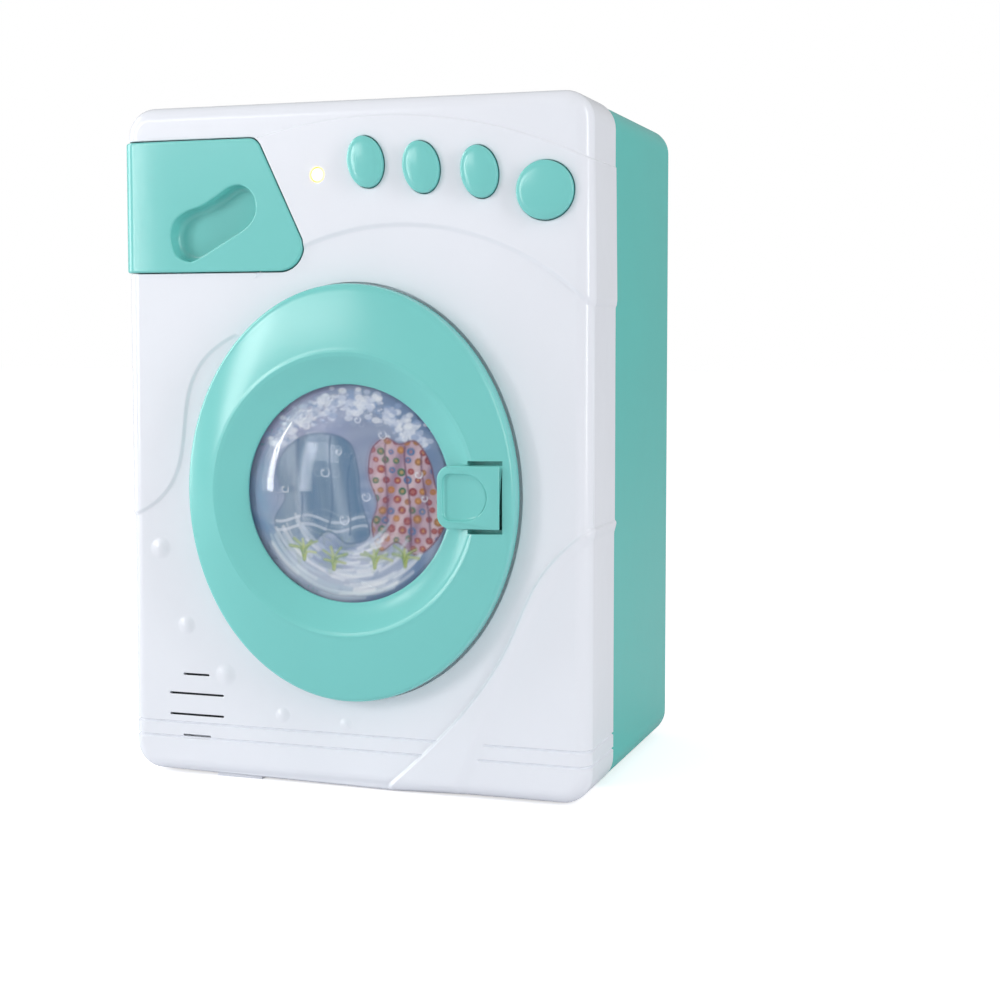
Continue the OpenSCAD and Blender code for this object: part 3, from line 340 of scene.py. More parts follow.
# Node, body, place, half width and height, and lean in degrees
BUTTONS = [
    ("oval_button_left", "left_button", (7.2, 214.4), (6.2, 8.7), 12),
    ("oval_button_middle", "middle_button", (27.1, 212.1), (6.2, 8.7), 12),
    ("oval_button_right", "right_button", (47.5, 210.0), (6.2, 8.7), 12),
    ("round_button", "big_button", (70.0, 203.4), (9.6, 9.6), 0),
]
LAMP_AT, LAMP_R = (-10.8, 210.7), 2.5
SPEAKER_AT = (-59.3, 25.5)
# Speaker slots: height over the speaker's middle, and half length
VENT_ROWS = [(11.0, 5.0), (4.0, 10.6), (-3.5, 10.6), (-11.0, 5.4)]
VENT_TALL = 0.7
# Domes on the front: x, z and radius
BUBBLES = [(-72.8, 81.2, 4.3), (-62.9, 54.1, 3.7), (-47.7, 37.2, 4.4), (-25.8, 24.4, 3.0), (-2.0, 22.6, 2.6)]
BUBBLE_RISE = 0.5
# Heights of the two grooves round the foot
GROOVES = (13.8, 19.0)
# The shells end this far above the ground, on their feet
FOOT_LOW = 0.8
DRAWER_LOW, DRAWER_HIGH, DRAWER_LEFT = 178.4, 223.9, -86.0
# Thickness of the drawer's front, and the gap round it
DRAWER_DEPTH, DRAWER_CLEAR = 8.0, 0.4
# The middles and radii of the drawer's two rounded corners, at its right
DRAWER_CORNERS = ((-25.2, 8.6), (-36.6, 5.0))
SCREWS = [(side * x, z) for side in (-1, 1) for x, z in ((78.2, 50), (78.2, 150), (52, 229.2))]
# Posts round the screws, the wells that the heads sink into, and the depth that they rest at
POST_R, WELL_R, SCREW_SEAT = 4.8, 3.2, 35.7
HATCH_SCREW = (0, 63.5)


def drawer_outline(grow):
    """The drawer's front with its slanted right edge, grown all round."""
    (low_x, low_r), (high_x, high_r) = DRAWER_CORNERS
    left = DRAWER_LEFT - grow
    return np.concatenate([
        [(left, DRAWER_LOW - grow)],
        arc((low_x, DRAWER_LOW + low_r), low_r + grow, -90, 14, 14),
        arc((high_x, DRAWER_HIGH - high_r), high_r + grow, 24, 90, 8),
        [(left, DRAWER_HIGH + grow)],
    ])


def lug_rows(gap=0.0):
    """The lowest and highest point of both lugs, with a gap round them."""
    return [sorted(DOOR_AT[1] + side * z for z in (LUG_LOW - gap, LUG_HIGH + gap)) for side in (-1, 1)]


# Front moulding

# The control panel lies between two arcs, each a middle and a radius. A slope is how wide a step is
PANEL_TOP = ((11.4, 60.8), 169.5)
PANEL_LOW = ((18.8, 99.1), 93.3)
PANEL_TOP_SLOPE, PANEL_LOW_SLOPE = 0.9, 1.9
# The ribbon lies between two curves
RIBBON_TOP = [[88, 96], [46, 67], [78, 58], [10, 0]]
RIBBON_LOW = [[88, 91], [57, 67], [46, -5], [38, 0]]
RIBBON_TOP_SLOPE, RIBBON_LOW_SLOPE = 1.3, 5.0
S_STEP = [[-42.5, 157.3], [-78.5, 141.5], [-49, 108.5], [-82, 94]]
S_SLOPE = 1.5
# Rounding of the edges of the openings
LIP = 0.35
GROOVE_DEEP = 0.6
# How far the channel round the door reaches inside and outside the door's edge, and how deep it is
CHANNEL_IN, CHANNEL_OUT, CHANNEL_DEEP = 4.6, 0.7, 1.9
# Size of the triangles on the plain face
GRID = 6.0
# Hollow posts behind the front: radius and bore
BOSS, SCREW_BORE = (2.4, 0.95), 1.3
BOSSES_AT = ((-10, 199), (37, 198.5), (60, 218.5), (17.5, 218.5))


class FrontForm:
    """The front moulding's outer face laid out flat, with its rounded edges and its sides unrolled."""

    def __init__(self, size):
        self.half_w, self.seam, self.corner = size.half_width, size.seam_depth, size.corner_radius
        self.edge, self.step, self.dip = size.front_rounding, size.step_height, size.dip_depth
        self.door = np.array([size.door_half_width, size.door_half_height])
        self.core_low = np.array([self.corner - self.half_w, FOOT_LOW + self.corner])
        self.core_high = np.array([self.half_w - self.corner, size.height - self.corner])
        self.flat = self.corner - self.edge
        self.fold = self.edge * math.pi / 2
        self.end = self.flat + self.fold + self.seam - self.edge
        self.ribbon_top = bezier(RIBBON_TOP, 60)
        self.ribbon_low = bezier(RIBBON_LOW, 60)
        self.ribbon = np.concatenate([self.ribbon_top, self.ribbon_low[::-1]])
        under_door = np.array([(-20, 136), (-28, 148), (-36, 154.5)])
        self.s_line = np.concatenate([under_door, bezier(S_STEP, 50), [(-90, 92.5)]])
        self.dip_area = np.concatenate([
            self.s_line, [(-95, 92), (-95, -10), (10, -10)], self.ribbon_top[::-1][:42], [(48, 80)]])
        self.holes = self.hole_outlines()

    def polar(self, points):
        """Each point's nearest core point, way out of it, and distance from it."""
        core = np.clip(points, self.core_low, self.core_high)
        out = points - core
        far = np.hypot(*out.T)
        way = out / np.maximum(far, 1e-9)[:, None]
        return core, way, far

    def folded(self, points):
        """The front view place, depth and normal of points in the flat layout."""
        core, way, far = self.polar(points)
        bend = np.clip((far - self.flat) / self.edge, 0, math.pi / 2)
        radial = np.where(far < self.flat, far, self.flat + self.edge * np.sin(bend))
        depth = self.edge * (1 - np.cos(bend)) + np.maximum(far - self.flat - self.fold, 0)
        normal = np.stack([way[:, 0] * np.sin(bend), -np.cos(bend), way[:, 1] * np.sin(bend)], 1)
        return core + way * radial[:, None], depth, normal

    def unfolded(self, points):
        """Front view points moved to their place in the flat layout."""
        core, way, far = self.polar(points)
        share = clamp((far - self.flat) / self.edge)
        flat = np.where(far < self.flat, far, self.flat + self.edge * np.arcsin(share))
        return core + way * flat[:, None]

    def run_out(self, line):
        """A front view line in the flat layout. Where it leaves the front it goes on down the side."""
        core, way, far = self.polar(line)
        keep = far < self.corner - 0.02
        down = (core + way * (self.end + 1))[keep]
        first, last = int(not keep[0]), int(not keep[-1])
        return np.concatenate([down[:first], self.unfolded(line[keep]), down[len(down) - last :]])

    def hole_outlines(self):
        """Outlines in the flat layout: with a soft lip, and without one."""
        left = -(self.half_w - self.edge) - self.fold - (DRAWER_DEPTH + DRAWER_CLEAR - self.edge)
        drawer = drawer_outline(DRAWER_CLEAR)
        drawer[0, 0] = drawer[-1, 0] = left
        lipped = [drawer]
        lipped += [oval(at, w + 0.3, h + 0.3, lean) for _, _, at, (w, h), lean in BUTTONS]
        lipped.append(oval(LAMP_AT, LAMP_R + 0.1, LAMP_R + 0.1, sides=32))
        for row, half in VENT_ROWS:
            x, z = SPEAKER_AT[0], SPEAKER_AT[1] + row
            r = VENT_TALL / 2
            lipped.append(rounded_box(x - half, x + half, z - r, z + r, r * 0.98, 4))
        # The drum's mouth and the latch's slot
        plain = [oval(DOOR_AT, 38, 38, sides=96), rounded_box(49.7, 55.6, 97.8, 109.0, 0.6, 3)]
        return lipped, plain

    def loop(self, far):
        """A line all round the core at one distance."""
        (x0, z0), (x1, z1) = self.core_low, self.core_high
        return rounded_box(x0 - far, x1 + far, z0 - far, z1 + far, far, 10)

    def height(self, flat_points, front_points, facing):
        """How far the face stands out of the plain form."""
        x, z = front_points.T
        (top_at, top_r), (low_at, low_r) = PANEL_TOP, PANEL_LOW
        panel = ramp((top_r - np.hypot(*(front_points - top_at).T)) / PANEL_TOP_SLOPE)
        panel *= ramp((np.hypot(*(front_points - low_at).T) - low_r) / PANEL_LOW_SLOPE)
        # The lower arc bounds the panel from below only, and the ribbon takes over at the left
        panel *= (z > low_at[1]) * (x > -34)
        on_ribbon = within(front_points, self.ribbon)
        top = line_distance(front_points, self.ribbon_top)
        low = line_distance(front_points, self.ribbon_low)
        wide = np.maximum(top + low, 1e-6)
        ribbon = on_ribbon * ramp(top / np.minimum(RIBBON_TOP_SLOPE, 0.3 * wide))
        ribbon *= ramp(low / np.minimum(RIBBON_LOW_SLOPE, 0.6 * wide))
        dipped = within(front_points, self.dip_area) | (on_ribbon & (top < RIBBON_TOP_SLOPE + 0.2))
        dip = dipped * ramp(line_distance(front_points, self.s_line) / S_SLOPE)
        # The lowered area runs out at the right, and under the door, whose edge is at share 1
        from_door = front_points - DOOR_AT
        share = np.hypot(*(from_door / self.door).T)
        dip *= np.where(x > DOOR_AT[0], ramp((72 - z) / 27), 1)
        dip *= ramp((share - 0.8) / 0.12)
        dip *= 0.83 + 0.17 * facing
        out = -self.dip * dip * (1 - ribbon) + self.step * np.maximum(panel, ribbon)
        clear = np.where(on_ribbon, clamp(1 - np.minimum(top, low) / 0.6), 1)
        for middle in GROOVES:
            out -= GROOVE_DEEP * (1 - ramp((abs(z - middle) - 0.15) / 0.4)) * clear
        for bx, bz, r in BUBBLES:
            t = clamp(np.hypot(x - bx, z - bz) / r)
            out += BUBBLE_RISE * (1 - t * t) ** 2
        for outline in self.holes[0]:
            t = clamp(line_distance(flat_points, outline, True) / LIP)
            out -= LIP * (1 - np.sqrt(1 - (1 - t) ** 2))
        past = (share - 1) / np.maximum(share, 0.1) * np.hypot(*from_door.T)
        return out - CHANNEL_DEEP * ramp((past + CHANNEL_IN) / 0.6) * ramp((CHANNEL_OUT - past) / 0.2)

    def guide_lines(self):
        """Lines that the triangles' edges follow, so that each step and rounding stays crisp."""
        (top_at, top_r), (low_at, low_r) = PANEL_TOP, PANEL_LOW
        opened, closed = [], []
        # Shares of each step's width
        for share in (-0.12, 0, 0.2, 0.4, 0.6, 0.8, 1, 1.12):
            opened += [self.run_out(line) for line in (
                arc(top_at, top_r - share * PANEL_TOP_SLOPE, 108, 58, 60),
                arc(low_at, low_r + share * PANEL_LOW_SLOPE, 128, 38, 70),
                shifted(self.ribbon_top, -share * RIBBON_TOP_SLOPE),
                shifted(self.ribbon_low, share * RIBBON_LOW_SLOPE), shifted(self.s_line, -share * S_SLOPE))]
        reach = self.half_w + 40
        for middle in GROOVES:
            for gap in (-0.15, -0.35, -0.55, -0.75, 0.15, 0.35, 0.55, 0.75):
                opened.append(np.array([(-reach, middle + gap), (reach, middle + gap)]))
        for bx, bz, r in BUBBLES:
            closed += [oval((bx, bz), r * share, r * share, sides=28)
                       for share in (0.15, 0.3, 0.45, 0.6, 0.72, 0.84, 0.93, 1, 1.08)]
        for outline in self.holes[0]:
            closed += [shifted(outline, share * LIP, True) for share in (0, 0.08, 0.25, 0.55, 1, 1.4)]
        closed += self.holes[1]
        # Ovals across the slope under the door, and across both walls of the channel
        closed += [oval(DOOR_AT, *(self.door * share), sides=72) for share in (0.8, 0.84, 0.88, 0.92)]
        closed += [oval(DOOR_AT, *(self.door + past), sides=180)
                   for past in (-CHANNEL_IN, -4.3, -4, 0.3, 0.5, 0.54, 0.58, 0.62, 0.66, CHANNEL_OUT, 0.9)]
        folds = [self.flat - 0.3] + [self.flat + self.fold * k / 8 for k in range(9)]
        folds += [self.flat + self.fold + 0.3, (self.flat + self.fold + self.end) / 2, self.end]
        closed += [self.loop(far) for far in folds]
        return [(line, False) for line in opened] + [(line, True) for line in closed]

    def mesh(self):
        """Points and triangles of the whole outer face, in metres."""
        points, edges = [], []
        for line, closed in self.guide_lines():
            start = len(points)
            points += [Vector(p) for p in line]
            count = len(line)
            edges += [(start + i, start + (i + 1) % count) for i in range(count if closed else count - 1)]
        for x in np.arange(-82, 83, GRID):
            points += [Vector((x, z)) for z in np.arange(4, 234, GRID)]
        found, _, faces, _, _, _ = delaunay_2d_cdt(points, edges, [], 0, 1e-4)
        flat = np.array([(p.x, p.y) for p in found])
        faces = np.array(faces)
        middles = flat[faces].mean(1)
        keep = self.polar(middles)[2] < self.end
        for outline in self.holes[0] + self.holes[1]:
            keep &= ~within(middles, outline)
        front, depth, normal = self.folded(flat)
        out = self.height(flat, front, -normal[:, 1])
        solid = np.stack([front[:, 0], depth + PANEL_Y, front[:, 1]], 1) + normal * out[:, None]
        faces = faces[keep]
        used = np.unique(faces)
        renumber = np.zeros(len(flat), int)
        renumber[used] = np.arange(len(used))
        return solid[used] * MM, renumber[faces]


class WASHER_OT_front_moulding(bpy.types.Operator):
    """Models the white front shell with its raised panel, ribbon, steps, grooves, domes and openings"""

    bl_idname = "washer.front_moulding"
    bl_label = "Front moulding"

    def execute(self, context):
        size = lengths(context)
        form = FrontForm(size)
        piece = blank("front_moulding")
        points, faces = form.mesh()
        piece.data.from_pydata(points.tolist(), [], faces.tolist())
        applied(piece, "SOLIDIFY", thickness=size.wall * MM, offset=-1, use_rim=True)
        wall = size.wall
        inside = wall - 0.2
        with shaping(piece):
            for at in SCREWS:
                drawn_tube(at, POST_R, SCREW_BORE, inside, form.seam, 32)
            for at in BOSSES_AT:
                drawn_tube(at, *BOSS, inside, 12, 32)
            for side in (-1, 1):
                drawn_tube((SPEAKER_AT[0] + side * 17.6, SPEAKER_AT[1]), 2.2, BOSS[1], inside, wall + 3, 32)
            # Rings that seat the speaker and the tub, a foot, and the door's lugs on their webs
            drawn_tube(SPEAKER_AT, 13.4, 12, inside, wall + 1, 64)
            drawn_tube(DOOR_AT, 45.4, 43.6, inside, wall + 5, 96)
            drawn_box((-53, 4, 0), (-35.6, 12, wall + 0.3))
            for z0, z1 in lug_rows():
                drawn_bar(PIN_X, PIN_Y, LUG_R, z0, z1)
                drawn_box((PIN_X - 0.9, PIN_Y, z0 + 0.02), (-51.3, 1.5, z1 - 0.02))
        done(piece, "cabinet", "white_abs", ["front_shell"], merged=False)
        return {"FINISHED"}


# Rear moulding


class WASHER_OT_rear_moulding(bpy.types.Operator):
    """Models the mint rear shell with its rounded edges, screw wells and battery bay"""

    bl_idname = "washer.rear_moulding"
    bl_label = "Rear moulding"

    def execute(self, context):
        size = lengths(context)
        half, high, seam, back = size.half_width - 0.5, size.height - 0.5, size.seam_depth, size.depth
        piece = blank("rear_moulding")
        with shaping(piece):
            drawn_box((-half, seam, FOOT_LOW), (half, back, high))
            rounded_edges(size.corner_radius - 0.5, 12, lambda x, y, z, e: seam + 1 < y < back - 1)
            rounded_edges(size.back_rounding, 8,
                          lambda x, y, z, e: y > back - 0.01 and e.calc_face_angle(0) > 1)
            pick("FACE", lambda x, y, z, f: y < seam + 0.01 and abs(f.normal.y) > 0.9)
            bpy.ops.mesh.delete(type="ONLY_FACE")
            pick("FACE", lambda x, y, z, f: True)
            bpy.ops.mesh.normals_make_consistent(inside=False)
        applied(piece, "SOLIDIFY", thickness=size.wall * MM, offset=-1, use_rim=True)
        ledge = back - size.wall
        # The boss of the hatch's screw and the battery bay, with the screws' wells round them
        carved(piece, lambda: drawn_box((-33.1, 100.2, 7.9), (33.1, ledge + 0.5, 71.6)), operation="UNION")
        for at in SCREWS:
            carved(piece, lambda: drawn_rings(
                at, circles((WELL_R, ledge - 1), (WELL_R, back - 0.5), (3.8, back + 1)), 40, True))
        carved(
            piece,
            lambda: drawn_box((-29.5, 102, 11.5), (29.5, back + 2, 58.5)),
            lambda: drawn_rings(HATCH_SCREW, circles((1.5, ledge - 9), (1.5, back + 1)), 32, True),
            lambda: drawn_plate(rounded_box(-31.8, 31.8, 9.2, 68.4, 3), ledge, back + 2))
        softened(piece, 0.25, 2, 50)
        with shaping(piece):
            for at in SCREWS:
                drawn_rings(at, circles(
                    (POST_R, seam), (POST_R, ledge + 0.6), (WELL_R, ledge + 0.6), (WELL_R, SCREW_SEAT),
                    (1.6, SCREW_SEAT), (1.6, seam), (POST_R, seam)), 40)
            for side in (-1, 1):
                drawn_box((side * 52 - 9, back - 18, 0), (side * 52 + 9, back - 10, FOOT_LOW + 1))
            sound()
        done(piece, "cabinet", "rear_mint_abs", ["rear_shell"], merged=False)
        evened(piece)
        return {"FINISHED"}


class WASHER_OT_battery_hatch(bpy.types.Operator):
    """Models the battery hatch with its finger grip and screw seat"""

    bl_idname = "washer.battery_hatch"
    bl_label = "Battery hatch"

    def execute(self, context):
        back = lengths(context).depth
        piece = blank("hatch_plate")
        with shaping(piece):
            drawn_plate(rounded_box(-31.4, 31.4, 9.6, 68, 2.6), back - 2.4, back - 0.1)
            sound()
        carved(piece, lambda: drawn_rings(HATCH_SCREW, circles(
            (1.7, back - 3), (1.7, back - 1.4), (3.1, back - 1.4), (3.1, back + 1)), 40, True))
        for k in range(5):
            z = 18 + 2.4 * k
            carved(piece, lambda: drawn_plate(
                rounded_box(-9 + k, 9 - k, z - 0.6, z + 0.6, 0.55, 4), back - 0.8, back + 1))
        softened(piece, 0.3, 3, 40)
        done(piece, "hatch", "rear_mint_abs", ["battery_hatch"])
        return {"FINISHED"}


# Door


def door_rings(size):
    """Rings of the door frame, from ovals at the back of its rim to circles at the window."""
    crest, top = size.crest_radius, size.crest_height
    window, window_edge = size.window_radius, size.window_edge_height

    def rounding(radius, middle, start, end, steps):
        for t in np.radians(np.linspace(start, end, steps + 1)):
            inset = radius * (1 - math.cos(t))
            depth = middle - radius * math.sin(t)
            rings.append((size.door_half_width - inset, size.door_half_height - inset, depth))

    rings = []
    rounding(1.2, -1.5, -90, 0, 6)
    rounding(2.0, 2.0 - size.rim_height, 0, 70, 9)
    w, h, y = rings[-1]
    foot = crest + 0.9
    for u in np.linspace(0, 1, 18)[1:]:
        rings.append((w + (foot - w) * u, h + (foot - h) * u, y - (top + y - 0.16) * u * (1.3 - 0.3 * u)))
    # The sharp ring is a narrow bevel
    rings += [(crest + r, crest + r, drop - top) for r, drop in (
        (0.7, 0.08), (0.5, 0.03), (0.35, 0.02), (0.25, 0.03), (-0.1, 0.12), (-0.5, 0.225), (-0.85, 0.32),
        (-0.95, 0.35))]
    start, end = crest - 0.95, window + 0.45
    for u in np.linspace(0, 1, 9)[1:-1]:
        r = start + (end - start) * u
        rings.append((r, r, 0.35 - top + (top - window_edge - 0.41) * u + 0.3 * math.sin(math.pi * u)))
    rings += circles(
        (window + 0.3, 0.1 - window_edge), (window + 0.1, 0.25 - window_edge), (window, 0.5 - window_edge),
        (window, -5.0), (40.4, -5.0), (40.4, -1.9), (46.3, -1.9), (46.3, -0.3))
    return rings + [rings[0]]


class WASHER_OT_door_frame(bpy.types.Operator):
    """Models the oval door frame with its sharp ring, latch pocket and hinge notches"""

    bl_idname = "washer.door_frame"
    bl_label = "Door frame"

    def execute(self, context):
        size = lengths(context)
        piece = blank("door_ring")
        with shaping(piece):
            drawn_rings(DOOR_AT, door_rings(size), 160)
            sound()
        # Latch pocket: its floor, a lower floor at the right, a slot on either side, and the hook's opening
        slot_x, end_x, half = LATCH_RIGHT - 10.9, LATCH_RIGHT + 0.5, LATCH_TALL / 2
        for x0, x1, y, z0, z1 in (
                (20, end_x, -9.2, -half - 0.4, half + 0.4), (slot_x, end_x, -8.4, -half - 1.6, half + 1.6),
                (slot_x, end_x, -6, -half - 1.6, -half - 0.1), (slot_x, end_x, -6, half + 0.1, half + 1.6),
                (50.5, 56.5, 2, -5.6, 5.6)):
            carved(piece, lambda: drawn_box((x0, -21, LATCH_Z + z0), (x1, y, LATCH_Z + z1)))
        for z0, z1 in lug_rows(LUG_GAP):
            carved(
                piece,
                lambda: drawn_bar(PIN_X, PIN_Y, LUG_R + LUG_GAP, z0, z1),
                lambda: drawn_box((PIN_X - 7, PIN_Y - 0.01, z0), (-51.3, 3, z1)),
                lambda: drawn_box((PIN_X - 7, PIN_Y - 1.5, z0), (PIN_X - 0.1, PIN_Y + 0.1, z1)))
        softened(piece, 0.22, 2, 50)
        done(piece, "door", "mint_abs", ["door_frame"], angle=40)
        return {"FINISHED"}


def disc_spot(u, v):
    """Where a spot of the square from -1 to 1 lies once the square is drawn to a disc of radius 1."""
    reach = max(abs(u), abs(v))
    if reach <= 1e-6:
        return u, v
    if abs(u) >= abs(v):
        turn = v / u * math.pi / 4 + (0 if u > 0 else math.pi)
    else:
        turn = math.pi / 2 - u / v * math.pi / 4 + (0 if v > 0 else math.pi)
    return reach * math.cos(turn), reach * math.sin(turn)


class WASHER_OT_door_window(bpy.types.Operator):
    """Models the clear domed window and the printed card behind it"""

    bl_idname = "washer.door_window"
    bl_label = "Window and picture"

    def execute(self, context):
        size = lengths(context)
        edge, apex, thick = 36.5, size.dome_height, 1.6
        rise = apex - 5.0
        ball = (edge**2 + rise**2) / (2 * rise)

        def cap(radius, start, count):
            """Rings of a shallow ball cap from its foot to its top."""
            foot = math.asin(start / radius)
            angles = [foot * (1 - k / count) for k in range(count)]
            return [(radius * math.sin(t), ball - apex - radius * math.cos(t)) for t in angles]

        piece = blank("window_dome")
        with shaping(piece):
            drawn_rings(DOOR_AT, circles(
                (40.1, -3.8), (40.1, -4.8), (39.9, -5), (37, -5), *cap(ball, edge, 24), (0, -apex)), 128)
            inner = ball - thick
            foot = math.sqrt(inner**2 - (ball - apex + 3.8) ** 2)
            drawn_rings(DOOR_AT, circles((40.1, -3.8), *cap(inner, foot, 20), (0, thick - apex)), 128)
            sound()
        done(piece, "door", "clear_window", ["door_window"])
        card = blank("picture_card")
        (cx, cz), depth, radius, steps = DOOR_AT, -3.8, 40.0, 220

        def on_disc(x, y, z):
            u, v = disc_spot(x - cx, z - cz)
            return cx + radius * u, depth, cz + radius * v

        with shaping(card):
            bpy.ops.mesh.primitive_grid_add(
                x_subdivisions=steps, y_subdivisions=steps, size=2 * MM, location=place(cx, depth, cz),
                rotation=(math.pi / 2, 0, 0))
            moved(on_disc)
            bpy.ops.mesh.select_all(action="SELECT")
            bpy.ops.mesh.region_to_loop()
            bpy.ops.mesh.extrude_edges_move(TRANSFORM_OT_translate={"value": (0, 0.9 * MM, 0)})
            bpy.ops.mesh.edge_face_add()
        spots = np.array([v.co for v in card.data.vertices])[:, [0, 2]] / MM - DOOR_AT
        # The print, with its painted reflection at the upper left, becomes the card's colour
        tint = card.data.attributes.new("print", "FLOAT_COLOR", "POINT")
        colours = np.concatenate([laundry_print_with_painted_reflection(spots), np.ones((len(spots), 1))], 1)
        tint.data.foreach_set("color", colours.astype(np.float32).ravel())
        done(card, "door", "printed_card", ["picture_disc"])
        return {"FINISHED"}


def laundry_print_with_painted_reflection(spots):
    """Linear colours of a made-up wash: cloths, leaves, bubbles and foam in turning water, with a painted
    reflection of a light as pale lavender over the upper left.
    """
    rng = np.random.default_rng(7)
    x, z = spots.T
    far, turn = np.hypot(x, z), np.arctan2(z, x)
    paint = np.tile(linear("#7f93b3"), (len(spots), 1))

    def lay(*coats):
        """Lays colours over the print in turn, each with its share at every spot."""
        nonlocal paint
        for colour, share in coats:
            share = clamp(share)[:, None]
            paint = paint * (1 - share) + np.array(linear(colour)) * share

    def shape(outline):
        near = line_distance(spots, outline, True)
        return clamp(np.where(within(spots, outline), near, -near) / 0.5 + 0.5)

    def stroke(points, width, soft=0.6):
        p = np.array(points, float)
        line = bezier(p, 16) if len(p) == 4 else p
        return clamp((width / 2 - line_distance(spots, line)) / soft + 0.5)

    wave = np.sin(3 * turn + 0.22 * far + 0.8 * np.sin(0.25 * x)) * 0.5 + 0.5
    ripple = np.sin(7 * turn + 0.5 * far + 1.3 * np.sin(0.31 * z)) * 0.5 + 0.5
    # Painted reflection: the pale lavender laid over the upper left stands in for a light reflected in the
    # dome
    lay(("#a9a9c9", 0.75 * ramp((z - 2) / 26) * ramp((10 - x) / 30)),
        ("#5d7fa8", 0.75 * ramp((far - 24) / 12) * ramp((x + 8) / 30)),
        ("#6a90bb", 0.7 * ramp((far - 25) / 10) * ramp((-x - 14) / 14) * ramp((16 - abs(z + 4)) / 14)),
        ("#c6cbdc", 0.5 * wave * ramp((-z - 4) / 22)),
        ("#b7bfd3", 0.28 * ripple),
        ("#8f95ab", 0.35 * ramp((15 - np.hypot(x - 8, z - 16)) / 8)))
    # Upper foam: a band of small soft blobs
    for _ in range(420):
        a, r = math.radians(rng.uniform(28, 150)), rng.normal(31, 2.2)
        size = rng.uniform(0.3, 1.1)
        near = np.hypot((x - r * math.cos(a)) / 1.5, z - r * math.sin(a))
        tone = rng.choice(["#dfe5f0", "#c4cee2", "#eef1f7", "#8fa5c9"])
        lay((tone, 0.75 * clamp((size - near) / 0.4 + 0.4)))
    # Blue cloth, hung in three folds
    towel = smooth_loop([
        (-25, 13), (-17, 19), (-8, 20), (0, 17), (3, 8), (4, -2), (7, -14), (-1, -17), (-8, -13), (-14, -17),
        (-24, -19), (-28, -10), (-24, -2), (-27, 6)])
    inside = shape(towel)
    fold = 0.42 * x + 0.09 * z
    lay(("#6a87a0", 0.95 * inside),
        ("#8fa6bf", 0.8 * inside * ramp((z - 2) / 14) * ramp((-x - 2) / 14)),
        ("#55799a", 0.8 * inside * clamp(np.sin(fold + 1.1) * 1.6 - 0.5)),
        ("#a7b7cb", 0.6 * inside * clamp(np.sin(fold + 3.3) * 1.8 - 0.8)),
        *(("#d5dde8", 0.7 * inside * clamp((0.6 - abs(z - at - 1.2 * np.sin(0.3 * x))) / 0.5 + 0.3))
          for at in (-12.0, -9.0)),
        ("#3f6284", 0.75 * clamp((0.55 - line_distance(spots, towel, True)) / 0.5)),
        *(("#44678a", 0.8 * stroke(crease, 0.7)) for crease in (
            [(-19, 17), (-21, 8), (-15, 2), (-19, -14)], [(-7, 19), (-9, 8), (-4, 0), (-8, -12)],
            [(1, 13), (-3, 4), (1, -4), (0, -14)])))
    # Dotted blanket, gathered at the top
    blanket = smooth_loop([
        (8, 15), (13, 19), (18, 17), (24, 18), (29, 11), (31, 3), (35, -6), (31, -15), (24, -20), (17, -16),
        (11, -19), (8, -11), (10, -3), (7, 6)])
    inside = shape(blanket)
    fold = 0.5 * x - 0.16 * z
    lay(("#c3a5b2", 0.97 * inside),
        ("#8a6f8c", 0.75 * inside * clamp(np.sin(fold + 0.6) * 1.7 - 0.7)),
        ("#ddc4c6", 0.7 * inside * clamp(np.sin(fold + 3.6) * 1.8 - 0.9)))
    dots = ["#a06a34", "#9c3b40", "#2b6d50", "#b5752f", "#8f2f3c", "#3f6fa0"]
    for row in range(12):
        for column in range(9):
            cx = 6 + 3.7 * column + (1.8 if row % 2 else 0) + rng.uniform(-0.5, 0.5)
            cz = 18 - 3.3 * row + rng.uniform(-0.5, 0.5)
            size = rng.uniform(1.0, 1.6)
            near = np.hypot(x - cx, (z - cz) * 1.1)
            middle = "#d8a469" if column % 2 else "#c27a70"
            lay((dots[int(rng.integers(6))], 0.95 * inside * clamp((size - near) / 0.45 + 0.5)),
                (middle, 0.6 * inside * clamp((size * 0.45 - near) / 0.4 + 0.5)))
    lay(("#6d3752", 0.9 * clamp((0.5 - line_distance(spots, blanket, True)) / 0.45)),
        *(("#6d4562", 0.85 * inside * stroke(crease, 0.7)) for crease in (
            [(13, 17), (12, 9), (15, 2), (13, -15)], [(20, 16), (19, 8), (23, 0), (22, -17)],
            [(26, 14), (25, 6), (29, -2), (29, -14)])))
    # Lower foam: long turning strands
    for _ in range(70):
        start, r = rng.uniform(200, 300), rng.uniform(19, 36)
        span, lift = rng.uniform(14, 34), rng.uniform(-2.5, 2.5)
        a = np.radians(np.linspace(start, start + span, 8))
        line = (r + lift * np.sin(2 * a))[:, None] * np.stack([np.cos(a), np.sin(a)], 1)
        tone = rng.choice(["#e8ecf2", "#cfd8e4", "#b7c6d8", "#f4f5f8"])
        lay((tone, 0.65 * stroke(line, rng.uniform(0.5, 1.5), 0.7)))
    # Tufts of narrow leaves
    for cx, cz in ((-17, -23), (-6, -26), (9, -25), (20, -24)):
        for lean in (-52, -28, -6, 17, 40, 60):
            way, long = math.radians(lean + rng.uniform(-7, 7)), rng.uniform(4.5, 8)
            tip = (cx + long * math.sin(way), cz + long * math.cos(way))
            bow = (cx + 0.35 * long * math.sin(way * 0.4), cz + 0.6 * long)
            blade = [(cx, cz), bow, bow, tip]
            lay(("#7d9a55" if lean % 3 else "#a9b765", 0.9 * stroke(blade, rng.uniform(0.8, 1.3), 0.5)),
                ("#d3dc9a", 0.6 * stroke(blade[1:], 0.25, 0.4)))
